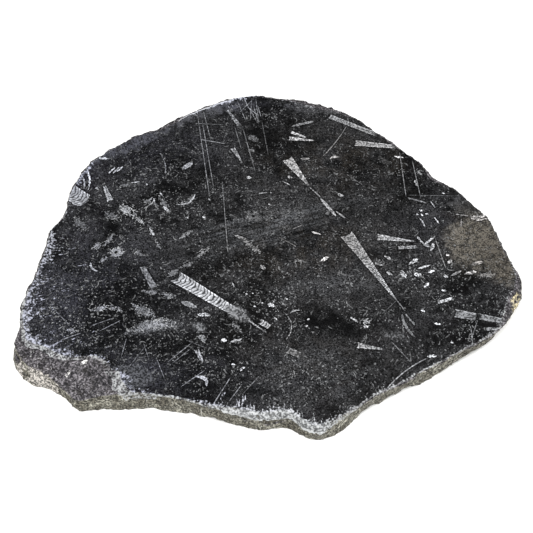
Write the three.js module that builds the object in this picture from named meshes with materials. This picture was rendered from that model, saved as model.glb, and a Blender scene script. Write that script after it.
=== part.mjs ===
// A slab of black limestone full of straight-shelled fossils: sawn flat underneath, polished flat on top,
// and left as it broke all round its rim. One piece of stone, in millimetres, with +Z up.
// The origin is on the sawn underside, below the middle of the slab, and -Y is the front.
import * as THREE from "three";

// Driving dimensions
const THICKNESS = 22; // from the sawn underside up to the polished face
const COLUMNS = 320; // profiles round the rim, at even angles about the origin
const CURVE_SAMPLES = 4000; // points taken along the outline to find its reach at each angle

// The slab's plan: the furthest reach of the stone, anticlockwise from the right-hand tip
const OUTLINE = [
  [212, -48], [207, -24], [201, -4], [197, 13], [192, 30], [180, 45], [164, 65], [153, 73],
  [146, 82], [138, 94], [121, 112], [103, 131], [85, 149], [67, 163], [48, 173], [29, 178],
  [8, 180], [-3, 182], [-17, 185], [-40, 179], [-68, 166], [-96, 150], [-108, 140], [-124, 132],
  [-151, 112], [-168, 94], [-178, 73], [-183, 57], [-184, 40], [-187, 27], [-195, 15], [-197, -2],
  [-203, -34], [-209, -63], [-209, -92], [-212, -107], [-208, -119], [-196, -132], [-180, -138],
  [-164, -148], [-154, -156], [-136, -154], [-98, -155], [-74, -159], [-50, -166], [-26, -171],
  [-6, -175], [11, -173], [22, -180], [34, -186], [47, -181], [65, -168], [82, -156], [100, -147],
  [117, -137], [132, -128], [149, -117], [167, -107], [184, -95], [194, -83], [200, -74], [206, -63],
];

// The arris that the whole rim has: the polish stops this far in, and the edge is worn down this much
const ARRIS = { setback: 1.6, drop: 1.2 };

// Where the rim has broken away. at and half are degrees round the slab from +X. The polish stops setback
// inside the outline there, and the broken surface falls by drop on its way out to the edge.
const CHIPS = [
  { name: "front left corner", at: 216.5, half: 15.5, setback: 30, drop: 4.5 },
  { name: "front left scar", at: 225.5, half: 9, setback: 24, drop: 2.5 },
  { name: "front bruise", at: 269, half: 20, setback: 2.5, drop: 6 },
  { name: "front nose", at: 283, half: 9, setback: 1, drop: 5 },
  { name: "front right flake", at: 312, half: 9, setback: 1, drop: 2.5 },
  { name: "right tip", at: 343, half: 9, setback: 8, drop: 6 },
  { name: "back right flake", at: 27, half: 8, setback: 3.5, drop: 1.2 },
  { name: "back flake", at: 74, half: 13, setback: 6, drop: 1.6 },
  { name: "back left flake", at: 124, half: 11, setback: 4, drop: 1.2 },
  { name: "left bruise", at: 192, half: 14, setback: 1.5, drop: 0.6 },
];

// Where the broken side leans: a positive lean takes the foot inside the outline, a negative one lets it
// stand out at the foot while the shoulder above it draws in
const LEANS = [
  { name: "undercut front right", at: 304, half: 14, lean: 7 },
  { name: "undercut right", at: 331, half: 20, lean: 10 },
  { name: "undercut back right", at: 40, half: 24, lean: 6 },
  { name: "undercut back", at: 98, half: 22, lean: 8 },
  { name: "undercut left", at: 172, half: 20, lean: 5 },
  { name: "apron front left", at: 213, half: 9, lean: -6 },
  { name: "undercut front", at: 252, half: 10, lean: 2.5 },
];

// The broken side's relief: broad lumps, finer hackles, and one bedding ledge that wanders up and down
const LUMP = { size: 31, height: 1.9 };
const HACKLE = { size: 11, height: 1.1 };
const LEDGE = { level: 0.48, wander: 0.2, size: 58, step: 3.4, sharpness: 0.14 };

// Heights on the side, as shares of the way down from the shoulder to the foot
const SIDE_LEVELS = [0.14, 0.3, 0.46, 0.62, 0.8];
const FOOT = { height: 1.4, setback: 1.8 }; // the worn arris above the sawn face
const SLOPE_MIDDLE = { out: 0.5, down: 0.36 }; // one point part of the way along a chip's slope
const RAGGED = { setback: 0.14, drop: 0.1 }; // the shares by which the chips' edges come and go
const RELIEF_AT_SHOULDER = 0.3; // the share of the side's relief that is left up at the shoulder
const RELIEF_FULL = 0.35; // and how far down the side it is all there

// Each use of the noise reads a layer of its own
const LAYER = { hackles: 17, ledgeLevel: 5, ledgeStep: 9, chipEdges: 3 };

const STONE = { color: 0x2b2b2d, roughness: 0.4, metalness: 0 };

// A hump that is 1 at an angle, falls smoothly to 0 half degrees away, and is 0 beyond
function hump(degrees, { at, half }) {
  const away = Math.abs(((degrees - at + 540) % 360) - 180) / half;
  return away >= 1 ? 0 : (1 - away ** 2) ** 2;
}

// The sum of one size over all the places that a list names
function sumOver(places, key, degrees) {
  return places.reduce((sum, place) => sum + place[key] * hump(degrees, place), 0);
}

// A repeatable number from -1 to 1 for each lattice point
function latticeValue(i, j, k) {
  const spread = Math.sin(i * 127.1 + j * 311.7 + k * 74.7) * 43758.5453;
  return 2 * (spread - Math.floor(spread)) - 1;
}

// Smooth noise from -1 to 1: lattice values blended by smoothstep along each axis
function noise(x, y, z) {
  const cell = [x, y, z].map(Math.floor);
  const blend = [x, y, z].map((value, axis) => THREE.MathUtils.smoothstep(value - cell[axis], 0, 1));
  const along = (axis, corner) => {
    if (axis === 3) return latticeValue(...corner);
    const near = along(axis + 1, [...corner, cell[axis]]);
    const far = along(axis + 1, [...corner, cell[axis] + 1]);
    return near + (far - near) * blend[axis];
  };
  return along(0, []);
}

// The outline's reach from the origin at each column's angle, read off a closed curve through its points
function outlineReach() {
  const points = OUTLINE.map(([x, y]) => new THREE.Vector3(x, y, 0));
  const curve = new THREE.CatmullRomCurve3(points, true, "centripetal");
  const samples = curve.getPoints(CURVE_SAMPLES).map((p) => ({
    turn: (Math.atan2(p.y, p.x) / (2 * Math.PI) + 1) % 1,
    reach: Math.hypot(p.x, p.y),
  }));
  samples.sort((a, b) => a.turn - b.turn);
  return Array.from({ length: COLUMNS }, (_, column) => {
    const turn = column / COLUMNS;
    const next = samples.findIndex((sample) => sample.turn >= turn);
    const high = samples[Math.max(next, 0)];
    const low = samples.at(next - 1);
    const gap = (high.turn - low.turn + 1) % 1;
    const share = gap > 0 ? ((turn - low.turn + 1) % 1) / gap : 0;
    return low.reach + (high.reach - low.reach) * share;
  });
}

// How far the broken side stands out at a point on it, before it leans: lumps, hackles and the ledge
function sideRelief(x, y, z, share) {
  const lumps = LUMP.height * noise(x / LUMP.size, y / LUMP.size, z / LUMP.size);
  const hackles = HACKLE.height * noise(x / HACKLE.size + LAYER.hackles, y / HACKLE.size, z / HACKLE.size);
  const level = LEDGE.level + LEDGE.wander * noise(x / LEDGE.size, y / LEDGE.size, LAYER.ledgeLevel);
  const ledge = THREE.MathUtils.smoothstep(share, level - LEDGE.sharpness, level + LEDGE.sharpness) - 0.5;
  const step = LEDGE.step * noise(x / LEDGE.size, y / LEDGE.size, LAYER.ledgeStep);
  const strength = RELIEF_AT_SHOULDER + (1 - RELIEF_AT_SHOULDER) * Math.min(share / RELIEF_FULL, 1);
  return (lumps + hackles + step * ledge) * strength;
}

// One column's profile as [reach, height] pairs, from the edge of the polish down to the sawn face
function profile(column, reach) {
  const degrees = (360 * column) / COLUMNS;
  const turn = THREE.MathUtils.degToRad(degrees);
  const [across, ahead] = [Math.cos(turn), Math.sin(turn)];
  const setback = ARRIS.setback + sumOver(CHIPS, "setback", degrees);
  const drop = ARRIS.drop + sumOver(CHIPS, "drop", degrees);
  const lean = sumOver(LEANS, "lean", degrees);
  const roughness = noise((across * reach) / HACKLE.size, (ahead * reach) / HACKLE.size, LAYER.chipEdges);
  const edge = reach - setback * (1 + RAGGED.setback * roughness);
  const shoulder = THICKNESS - drop * (1 + RAGGED.drop * roughness);
  const shoulderReach = reach + Math.min(lean, 0);

  const points = [
    [edge, THICKNESS],
    [edge + (shoulderReach - edge) * SLOPE_MIDDLE.out, THICKNESS - drop * SLOPE_MIDDLE.down],
  ];
  for (const share of [0, ...SIDE_LEVELS, 1]) {
    const height = shoulder + (FOOT.height - shoulder) * share;
    const leaning = shoulderReach - lean * share;
    points.push([leaning + sideRelief(across * reach, ahead * reach, height, share), height]);
  }
  const [footReach] = points.at(-1);
  points.push([footReach - FOOT.setback, 0]);
  return points;
}

// The stone's closed skin: rings of points joined by two triangles a step, and a fan over each flat face
function stoneGeometry() {
  const profiles = outlineReach().map((reach, column) => profile(column, reach));
  const rings = profiles[0].length;
  const positions = [0, 0, THICKNESS, 0, 0, 0];
  const [topMiddle, baseMiddle, firstRing] = [0, 1, 2];
  profiles.forEach((points, column) => {
    const turn = (2 * Math.PI * column) / COLUMNS;
    points.forEach(([reach, height]) => {
      positions.push(reach * Math.cos(turn), reach * Math.sin(turn), height);
    });
  });

  const at = (column, ring) => firstRing + (column % COLUMNS) * rings + ring;
  const triangles = [];
  for (let column = 0; column < COLUMNS; column += 1) {
    triangles.push(topMiddle, at(column, 0), at(column + 1, 0));
    for (let ring = 0; ring + 1 < rings; ring += 1) {
      triangles.push(at(column, ring), at(column, ring + 1), at(column + 1, ring + 1));
      triangles.push(at(column, ring), at(column + 1, ring + 1), at(column + 1, ring));
    }
    triangles.push(baseMiddle, at(column + 1, rings - 1), at(column, rings - 1));
  }

  const geometry = new THREE.BufferGeometry();
  geometry.setAttribute("position", new THREE.Float32BufferAttribute(positions, 3));
  geometry.setIndex(triangles);
  geometry.computeVertexNormals();
  return geometry;
}

const slab = new THREE.Mesh(stoneGeometry(), new THREE.MeshStandardMaterial(STONE));
slab.name = "fossil_slab";

const fossil = new THREE.Group();
fossil.add(slab);

export default fossil;
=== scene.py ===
"""A broken slab of black limestone, polished on top, with straight-shelled fossils set in it.

The slab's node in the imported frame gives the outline, the chips and the broken rim. This file lays a finer
skin over that form and paints it: fossils, flecks and scratches on the polished face, a crushed fringe
where the rim was bruised, raw stone on the broken side and saw marks underneath. Lengths are in
millimetres, and only the finished mesh, the floor, the lamps and the camera are in metres.
"""

import functools
import itertools
import logging
import math
from collections.abc import Callable
from dataclasses import dataclass
from enum import Enum

import bpy
import numpy as np
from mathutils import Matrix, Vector


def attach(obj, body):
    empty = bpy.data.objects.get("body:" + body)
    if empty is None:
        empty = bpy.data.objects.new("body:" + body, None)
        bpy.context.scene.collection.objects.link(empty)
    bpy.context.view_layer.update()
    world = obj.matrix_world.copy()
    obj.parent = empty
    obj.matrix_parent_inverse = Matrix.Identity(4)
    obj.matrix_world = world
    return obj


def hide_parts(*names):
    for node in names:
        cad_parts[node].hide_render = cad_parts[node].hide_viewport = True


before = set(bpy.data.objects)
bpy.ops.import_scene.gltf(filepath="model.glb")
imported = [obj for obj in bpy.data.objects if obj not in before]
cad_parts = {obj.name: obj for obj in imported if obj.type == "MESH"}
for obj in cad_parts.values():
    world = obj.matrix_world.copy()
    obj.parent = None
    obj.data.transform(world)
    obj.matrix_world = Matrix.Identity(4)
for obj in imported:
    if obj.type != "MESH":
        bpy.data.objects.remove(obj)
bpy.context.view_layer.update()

LOG = logging.getLogger("fossil_slab")
MM = 0.001
NODE = "fossil_slab"

Array = np.ndarray
Material = bpy.types.Material
Node = bpy.types.Node
Outputs = bpy.types.NodeOutputs
Socket = bpy.types.NodeSocket
Tree = bpy.types.NodeTree
Point = tuple[float, float]
Triple = tuple[float, float, float]
Colour = Triple
Feed = Socket | float | tuple[float, ...]

# The names of the values that draw a mark, each of which is three numbers
MARK_FORM = ("shape", "edge", "fill", "look", "extra")
# How far round its outline a mark takes faces
MARK_MARGIN = 1.6
# A place that is in no mark
FAR_OUTSIDE = -1000.0
# How far past its ends a mark's bow goes on, as shares of its length
BOW_SPAN = (-0.2, 1.2)
# The bruises at a place count for at least this much, so that nothing is divided by zero
LEAST_BRUISE = 1e-3
# How far the points that the facets are made from stray from the middles of their cells, in cells
FACET_STRAY = 0.45
# Packed points nearer the axis than this are the middles of the flat faces
AXIS_REACH = 1.0
# Packed points closer in height than this are level
SAME_HEIGHT = 0.01
# The mean of Blender's noise
NOISE_MEAN = 0.5


class Wash(Enum):
    """The broad, soft changes in the stone and a painted sheen, each kept as one value at every point of the
    skin.
    """

    FLECKS = "more broken shell in the stone"
    DARK = "pure black stone"
    # Painted sheen: pale streaks that stand in for light reflected by the polish
    PAINTED_SHEEN = "pale smears in the polish"
    BROWN = "brown tinge"
    COOL = "blue-grey tinge"
    MATT = "ground but not polished"
    PALE = "pale weathered crust on the broken rim"
    YELLOW = "yellow crystals on the broken rim"
    WHITE = "white calcite on the broken rim"

    @property
    def attribute(self) -> str:
        """The name of the value on the mesh."""
        return f"wash_{self.name.lower()}"


class Kind(Enum):
    """What a mark on the polished face is."""

    CHAMBERED = "a straight shell cut along its chambers"
    SPAR = "a straight shell filled with grey crystal"
    SHELL = "a thin curved shell"
    CLAST = "a ragged lump of broken shell"
    SPOT = "a small white grain"
    VEIL = "a soft pale patch"
    GAP = "a dark line beside a shell"
    SCRATCH = "a scratch in the polish"


class Region(Enum):
    """The three surfaces of the slab, in the order of their materials on the mesh."""

    POLISHED = 0
    BROKEN = 1
    SAWN = 2


@dataclass(frozen=True)
class Habit:
    """How one kind of mark is drawn.

    bright is its brightness, and grain is how far dark speckle takes that down. soft and ragged are
    millimetres at its edge, and fade is the share of its length that fades out at the tip. bend is how far
    its chamber walls and ends bow towards the tip, as a share of its half width. patchy is how far it is
    broken up into wisps, and shards is how thickly slivers of shell lie in it. blunt is 1 for a diamond, 2
    for a lens and more for squarer ends.
    """

    bright: float
    grain: float
    soft: float = 0.4
    ragged: float = 0.6
    fade: float = 0.0
    bend: float = 0.0
    patchy: float = 0.0
    shards: float = 0.0
    blunt: float = 400.0
    opacity: float = 1.0


HABITS: dict[Kind, Habit] = {
    Kind.CHAMBERED: Habit(bright=0.58, grain=0.4, soft=0.3, ragged=0.6, fade=0.1, bend=0.5),
    Kind.SPAR: Habit(bright=0.42, grain=0.75, soft=0.3, ragged=0.6, fade=0.15, bend=0.3, patchy=0.15),
    Kind.SHELL: Habit(bright=0.50, grain=0.6, soft=0.2, ragged=1.2, blunt=4.0, patchy=0.7),
    Kind.CLAST: Habit(
        bright=0.44, grain=0.5, soft=0.8, ragged=4.0, blunt=2.0, opacity=0.85, patchy=1.12, shards=0.8
    ),
    Kind.SPOT: Habit(bright=0.6, grain=0.8, soft=0.15, ragged=1.4, blunt=2.4, patchy=0.35),
    Kind.VEIL: Habit(
        bright=0.22, grain=0.8, soft=3.0, ragged=4.0, blunt=2.0, opacity=0.7, patchy=0.6, shards=0.3
    ),
    Kind.GAP: Habit(bright=0.003, grain=0.0, soft=0.5, ragged=0.6, blunt=4.0, opacity=0.9),
    Kind.SCRATCH: Habit(bright=0.36, grain=0.6, soft=0.2, ragged=0.3, blunt=6.0, opacity=0.55, patchy=0.75),
}


@dataclass(frozen=True)
class Mark:
    """One fossil, grain or scratch, from start to end on the polished face.

    width is across its head and tip is the tip's share of that. bow pushes its middle to the left of the
    way it runs, bands is the spacing of its chamber walls, core is the radius of a dark hole at its middle,
    and glow scales its brightness.
    """

    kind: Kind
    start: Point
    end: Point
    width: float
    tip: float = 1.0
    bow: float = 0.0
    bands: float = 0.0
    core: float = 0.0
    glow: float = 1.0

    @property
    def length(self) -> float:
        """The straight distance from start to end."""
        return math.dist(self.start, self.end)

    def local(self, places: Array) -> Array:
        """Distances along and across the mark, with its bow taken out.

        With s the share of the way along, the mark's middle line stands 4 bow s (1 - s) to the left.

        Args:
            places: Points in the slab's plan, shape (..., 2).

        Returns:
            Along and across for each point, shape (..., 2).
        """
        way = np.subtract(self.end, self.start) / self.length
        offset = places - np.asarray(self.start)
        along = offset @ way
        across = offset @ np.array((-way[1], way[0]))
        share = np.clip(along / self.length, *BOW_SPAN)
        return np.stack((along, across - 4 * self.bow * share * (1 - share)), axis=-1)

    def form(self) -> dict[str, Triple]:
        """The values that draw the mark, as the polished finish reads them.

        Returns:
            The values in threes, under the names in MARK_FORM.
        """
        habit = HABITS[self.kind]
        return {
            "shape": (self.length, self.width / 2, self.tip),
            "edge": (habit.soft, habit.ragged, habit.fade),
            "fill": (self.bands, habit.bend, habit.shards * self.glow),
            "look": (habit.bright * self.glow, habit.grain, habit.patchy),
            "extra": (self.core, habit.blunt, habit.opacity),
        }


@dataclass(frozen=True)
class Bloom:
    """One soft ellipse of a wash: strength at its centre, falling off as exp(-d ** edge) over its radii."""

    wash: Wash
    centre: Point
    radii: Point
    turn: float = 0.0
    strength: float = 1.0
    edge: float = 2.0

    def at(self, places: Array) -> Array:
        """The ellipse's value at points of the plan, where d is the distance in its own turned radii.

        Args:
            places: Points in the slab's plan, shape (..., 2).

        Returns:
            The value at each point, shape (...).
        """
        turn = math.radians(self.turn)
        way = np.array((math.cos(turn), math.sin(turn)))
        offset = places - np.asarray(self.centre)
        along = offset @ way / self.radii[0]
        across = offset @ np.array((-way[1], way[0])) / self.radii[1]
        return self.strength * np.exp(-np.hypot(along, across) ** self.edge)


@dataclass(frozen=True)
class Bruise:
    """A stretch of rim whose stone is crushed white.

    at and half are degrees from +X: its middle and half its spread. width is millimetres in from the edge
    of the polish, skirt is millimetres down the broken side, and strength is how much of the stone is
    crushed.
    """

    at: float
    half: float
    width: float
    skirt: float = 2.0
    strength: float = 1.0

    def hump(self, degrees: Array) -> Array:
        """How much of it is at each angle: (1 - a * a) ** 2, with a the share of the half spread."""
        away = np.abs((degrees - self.at + 180) % 360 - 180) / self.half
        return np.where(away < 1, (1 - away**2) ** 2, 0)


# One maker for each kind of mark, in the order of the kinds
chambered, spar, shell, clast, spot, veil, gap, scratch = (functools.partial(Mark, kind) for kind in Kind)

FOSSILS: tuple[Mark, ...] = (
    # The large banded shell at the left, what is left of its tip, and the fragment beside that
    chambered((-80, -39), (-29, -76), 12.5, tip=0.62, bands=3.3, glow=1.08),
    veil((-40, -68), (-18, -84), 10, glow=1.5),
    spar((-20, -83), (-4, -96), 1.2, tip=0.7, glow=0.7),
    gap((-19, -80), (-1, -95), 1.6),
    chambered((-9, -85), (-2, -90), 5, tip=0.9, bands=2.2, glow=0.8),
    # The long slender shell in the middle, with the thread of its tip
    spar((66, 8), (84, -25), 11.5, tip=0.58, glow=0.78),
    spar((80, -18), (104, -62), 7.6, tip=0.14, bands=1.5, glow=1.25),
    spar((102, -58), (111, -74), 1, tip=0.6, glow=0.4),
    shell((108, -76), (117, -100), 2.2, bow=-2.5, glow=0.3),
    shell((111, -77), (118, -88), 1.6, glow=0.35),
    # The cone above it, and the pieces in line with its tip
    spar((15, 99), (34, 66), 10, tip=0.15, glow=1.12),
    spar((35, 64), (45, 51), 1, glow=0.5),
    shell((44, 51), (57, 30), 2.6, glow=0.7),
    shell((57, 36), (65, 28), 1.5, glow=0.55),
    clast((45, 30), (54, 37), 4, glow=0.7),
    # The back edge: a forked shell, a faint one, and two long ones on the rim
    spar((17, 126), (41, 123), 4.5, tip=0.2, glow=1.2),
    spar((19, 134), (33, 127), 3, tip=0.6, glow=1.1),
    shell((19, 142), (41, 149), 2.5, glow=0.45),
    spar((56, 155), (101, 130), 5.2, tip=0.9, glow=0.8),
    spar((79, 120), (117, 115), 6.8, tip=0.6, glow=0.95),
    # The right side
    spar((93, 6), (126, 1), 6.5, tip=0.1, glow=1.1),
    spar((110, -6), (127, -5), 3, glow=0.65),
    spar((153, -76), (170, -80), 8, tip=0.9, glow=0.6),
    spar((171, -79), (196, -85), 6.2, tip=0.7, glow=0.55),
    gap((170, -84), (172, -76), 1.4),
    gap((160, -86), (190, -90), 2.2),
    spar((176, -92), (189, -91), 3, glow=0.6),
    spar((139, -65), (152, -60), 2.6, glow=1.2),
    spar((70, -108), (90, -112), 5.2, tip=0.25, glow=0.85),
    spot((125.5, -119), (133.5, -118), 2.6, glow=0.8),
    spar((13, -113), (23, -118), 5.5, glow=0.55),
    spot((170, -25), (183, -21), 3.4, glow=0.6),
    spot((164, -35), (175, -32), 3, glow=0.8),
    clast((173, -38), (194, -34), 6, glow=0.7),
    spot((75, -88), (79, -90), 3),
    clast((74, -81), (80, -87), 6),
    # The left side
    veil((-120, -96), (-74, -87), 11, bow=3),
    clast((-119, -95), (-74, -86), 13, bow=3, glow=0.95),
    spar((-111, -27), (-99, -51), 4.2, tip=1.3, glow=0.5),
    clast((-137, 44), (-120, 28), 11, glow=1.1),
    spot((-135, 42), (-126, 35), 8, glow=0.6),
    clast((-121, 29), (-113, 22), 5, glow=0.9),
    spot((-140, -10), (-130, -13), 9, core=2.2, glow=0.75),
    clast((-142, -11), (-127, -11), 13, core=2.2),
    spar((-145, 49), (-152, 67), 5.5, tip=0.4, glow=0.95),
    chambered((-185, 61), (-166, 46), 17, tip=0.95, bands=3.2, glow=0.8),
    shell((-170, 88), (-166, 61), 1.4, bow=2),
    shell((-174, 80), (-170, 62), 1.2, bow=1.4, glow=0.7),
    clast((-86, 46), (-70, 58), 5, bow=-5.5, glow=0.8),
    shell((-86, 44), (-69, 57), 1.5, bow=-5.5, glow=0.8),
    clast((-25, 37), (-8, 23), 14, core=2, glow=0.5),
    spar((-36, 113), (-27, 95), 4.4, tip=0.2, glow=0.8),
    spar((-42, 164), (-30, 142), 1.6, tip=2.4, glow=0.6),
    shell((-61, -138), (-52, -147), 3, bow=3.5, glow=0.8),
)

GRAINS: tuple[Mark, ...] = (
    # Small white grains, most of them in the swarm at the right
    spot((35, 12), (43, 9), 2),
    spot((42, -21), (49, -16), 2.8),
    spot((118, -24), (126, -18), 3.2, core=0.9, glow=0.8),
    shell((125, -29), (136, -25), 1.8),
    spot((110, -31), (114, -39), 4.4, glow=0.7),
    spot((121, -35), (128, -36), 3.4),
    spot((134, -33), (139, -31), 2.4),
    spot((146, -36), (150, -38), 3.2),
    spot((129, -49), (133, -44), 2.2),
    spot((143, -52), (147, -53), 2, glow=0.7),
    spot((151, -13), (153, -15), 2.4),
    spot((151, -23), (155, -20), 3.2),
    spot((138, -9), (141, -1), 3, glow=0.7),
    spot((132, -1), (137, -5), 3.4, glow=0.6),
    spot((124, -71), (127, -75), 1.8),
    spot((134, -86), (139, -87), 1.7),
    spot((145, -104), (148, -106), 1.7),
    shell((152, -37), (162, -31), 1.6, glow=0.5),
    shell((88, -20), (96, -25), 1.2, bow=-2, glow=0.7),
    clast((88, -18), (97, -24), 5, glow=0.5),
    spot((97, -15), (103, -19), 2.6, glow=0.7),
    spot((98, -32), (103, -37), 2.2, glow=0.6),
    spot((114, 103), (122, 101), 2.2),
    spot((176, 28), (186, 29), 4.4, glow=0.8),
    spot((184, 30), (193, 31), 3),
    shell((181, 25), (194, 28), 1.4),
    shell((160, 33), (177, 30), 0.9, glow=0.5),
    shell((168, 27), (167, 18), 1.2, glow=0.4),
    clast((98, 104), (111, 90), 8, glow=0.25),
    spot((59, 56), (65, 54), 3.2, glow=0.8),
    shell((54, 100), (63, 102), 2.4, bow=1.2, glow=0.7),
    shell((27, 100), (35, 100), 3, glow=0.6),
    spot((131.5, 37.5), (134.5, 35.5), 1.7),
    spot((132.5, 32.5), (134.5, 30.5), 1.8, glow=1.2),
    spot((136.5, 33), (139.5, 32), 1.5),
    spot((128.5, 32.5), (130.5, 31.5), 1.7, glow=0.6),
    shell((130, 29), (135, 17), 0.9, bow=1, glow=0.8),
    shell((144, 29), (148, 21), 0.9, glow=0.9),
    shell((142, 48), (146, 40), 0.9, glow=0.8),
    spot((153.5, 57.5), (156.5, 56.5), 1.4),
    shell((130, 74), (132, 66), 1.4, glow=0.8),
    clast((134, 86), (138, 79), 4, glow=0.8),
    shell((127, 7), (133, -3), 1.3, glow=0.7),
    shell((132, -3), (143, 7), 1.8, glow=0.8),
    # Lumps and curved shells over the left half
    clast((-80, -28), (-67, -22), 6, glow=0.6),
    clast((-66, -19), (-55, -4), 5, glow=0.8),
    clast((-81, 4), (-69, 14), 5, glow=0.75),
    clast((-89, -38), (-79, -29), 6, glow=0.7),
    shell((-76, -64), (-63, -70), 4, glow=0.5),
    spot((-62, -77), (-51, -78), 3.6, glow=0.8),
    shell((-82, 87), (-73, 95), 4.4, glow=0.7),
    shell((-149, 82), (-144, 89), 1.4),
    shell((-145, 82), (-140, 89), 1.4),
    shell((-142, 83), (-137, 90), 1.2, glow=0.8),
    shell((-160, 101), (-151, 100), 2),
    clast((-139, 66), (-128, 68), 5, glow=0.55),
    clast((-157, -8), (-148, 0), 6, glow=0.85),
    clast((-147, -5), (-138, 10), 5, glow=0.85),
    clast((-119, -8), (-110, -16), 6, glow=0.6),
    clast((-149, -23), (-141, -15), 4, glow=0.8),
    shell((-156, -22), (-148, -32), 1.8, bow=-2.5, glow=0.7),
    clast((-150, -73), (-133, -68), 6),
    clast((-135, -70), (-124, -74), 5, glow=0.6),
    clast((-118, -66), (-96, -80), 12, glow=0.7),
    clast((-170, -92), (-158, -94), 5, glow=0.8),
    clast((-110, -53), (-96, -55), 5, glow=0.6),
    clast((-95, -55), (-80, -60), 7, glow=0.7),
    veil((-63, -86), (-56, -95), 6, glow=1.4),
    clast((-61, -96), (-55, -105), 4.5, glow=0.8),
    clast((-27, 6), (-15, -7), 6, glow=0.7),
    clast((-19, -3), (-9, -12), 6, glow=0.8),
    spot((-10, -25), (-6, -30), 3.6, glow=0.5),
    clast((-23, 131), (-12, 121), 8, glow=0.6),
    clast((-24, 113), (-15, 110), 6, glow=0.6),
    clast((14, -20), (30, -22), 3, glow=0.6),
    clast((54, -33), (62, -35), 5, glow=0.5),
    spot((-42, -103), (-37, -103), 3),
    shell((-34, -105), (-25, -102), 2.2, glow=0.6),
    clast((-176, 30), (-162, 11), 9, glow=0.45),
    shell((-104, 108), (-97, 80), 1, bow=2, glow=0.3),
    clast((-117, 50), (-101, 42), 5, glow=0.6),
    clast((-102, 56), (-91, 34), 6, glow=0.6),
    clast((-151, 36), (-133, 25), 8, glow=0.5),
    clast((-33, -84), (-25, -96), 5, glow=0.6),
    clast((-109, 20), (-104, 6), 3.6, glow=0.7),
    clast((-101, 1), (-96, -8), 3.4, glow=0.7),
    shell((-63, -113), (-57, -124), 2.4, bow=1, glow=0.8),
    shell((-60, -112), (-56, -124), 1.8, glow=0.6),
    shell((8, -73), (10, -104), 0.7, bow=7, glow=0.6),
    shell((65, -80), (71, -85), 1.5, glow=0.9),
    veil((94, -98), (108, -98), 4),
    veil((-128, -130), (-94, -143), 18, glow=0.6),
    spot((-159.5, 63.5), (-156.5, 62.5), 1.7, glow=0.8),
    shell((-127, 70), (-120, 71), 1, glow=0.9),
    spot((-115.5, 75.5), (-113.5, 74.5), 1.7, glow=0.5),
    spot((-114.5, 68.5), (-112.5, 67.5), 1.7, glow=0.5),
    spot((-107.5, 68.5), (-105.5, 67.5), 1.4, glow=0.6),
    shell((-114, 47), (-107, 53), 1.2, bow=-1, glow=0.9),
    shell((-106, 51), (-104, 42), 1.4, glow=0.9),
    shell((-101, 58), (-98, 54), 1, glow=0.8),
    spot((-97, 42), (-91, 35), 2.4, glow=0.7),
    spot((-119, 27), (-113, 21), 3.2, tip=0.4),
    spot((-108, 17), (-103, 8), 2, glow=0.7),
    spot((-76.5, 29.5), (-74.5, 27.5), 1.5, glow=0.5),
    spot((-61.5, 29.5), (-58.5, 28.5), 1.8),
    spot((-56.5, 50.5), (-54.5, 48.5), 1.7, glow=0.5),
    spot((-23, 77), (-18, 76), 3, glow=0.7),
    spot((14, 78), (19, 76), 2.4, glow=0.5),
    shell((10, 72), (17, 67), 0.9, glow=0.7),
    shell((-11, 57), (-4, 58), 0.9, glow=0.6),
    spot((-1.5, 58.5), (0.5, 57.5), 1.4, glow=0.9),
    spot((-3, 44.5), (0, 42.5), 2, glow=0.7),
    spot((-0.5, 28.5), (1.5, 27.5), 1.4, glow=0.7),
    spot((-32, 8), (-22, 3), 3.2, glow=0.5),
    spot((-15.5, -69), (-12.5, -70), 1.5),
    spot((-4, -66), (2, -69), 3.4, glow=1.1),
    spot((0.5, -63.5), (2.5, -64.5), 1.4, glow=0.8),
    spot((10.5, -60.5), (13.5, -61.5), 1.7, glow=1.1),
    spot((14.5, -61), (15.5, -62), 1.3, glow=0.7),
    spot((-17.5, -54.5), (-15.5, -55.5), 1.4, glow=0.9),
    spot((-22.5, -55.5), (-20.5, -56.5), 1.5, glow=0.5),
    spot((-8.5, -64.5), (-7.5, -66.5), 1.3, glow=0.8),
    shell((15, -76), (23, -73), 1, bow=1.2, glow=0.7),
    shell((2, -80), (5, -84), 1, glow=0.8),
    spot((27.5, -88.5), (29.5, -89.5), 1.8),
    spot((29.5, -81.5), (30.5, -82.5), 1.7),
    spot((32.5, -94.5), (34.5, -95.5), 1.7, glow=0.6),
    spot((46.5, -48.5), (47.5, -49.5), 1.4),
    shell((-34, -44), (-31, -50), 1, glow=0.6),
    spot((-33, -126), (-30, -127), 2.6, glow=1.2),
    spot((-24, -129), (-22, -130), 2.2, glow=1.1),
    spot((-26, -131), (-24, -132), 2),
)

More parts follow.
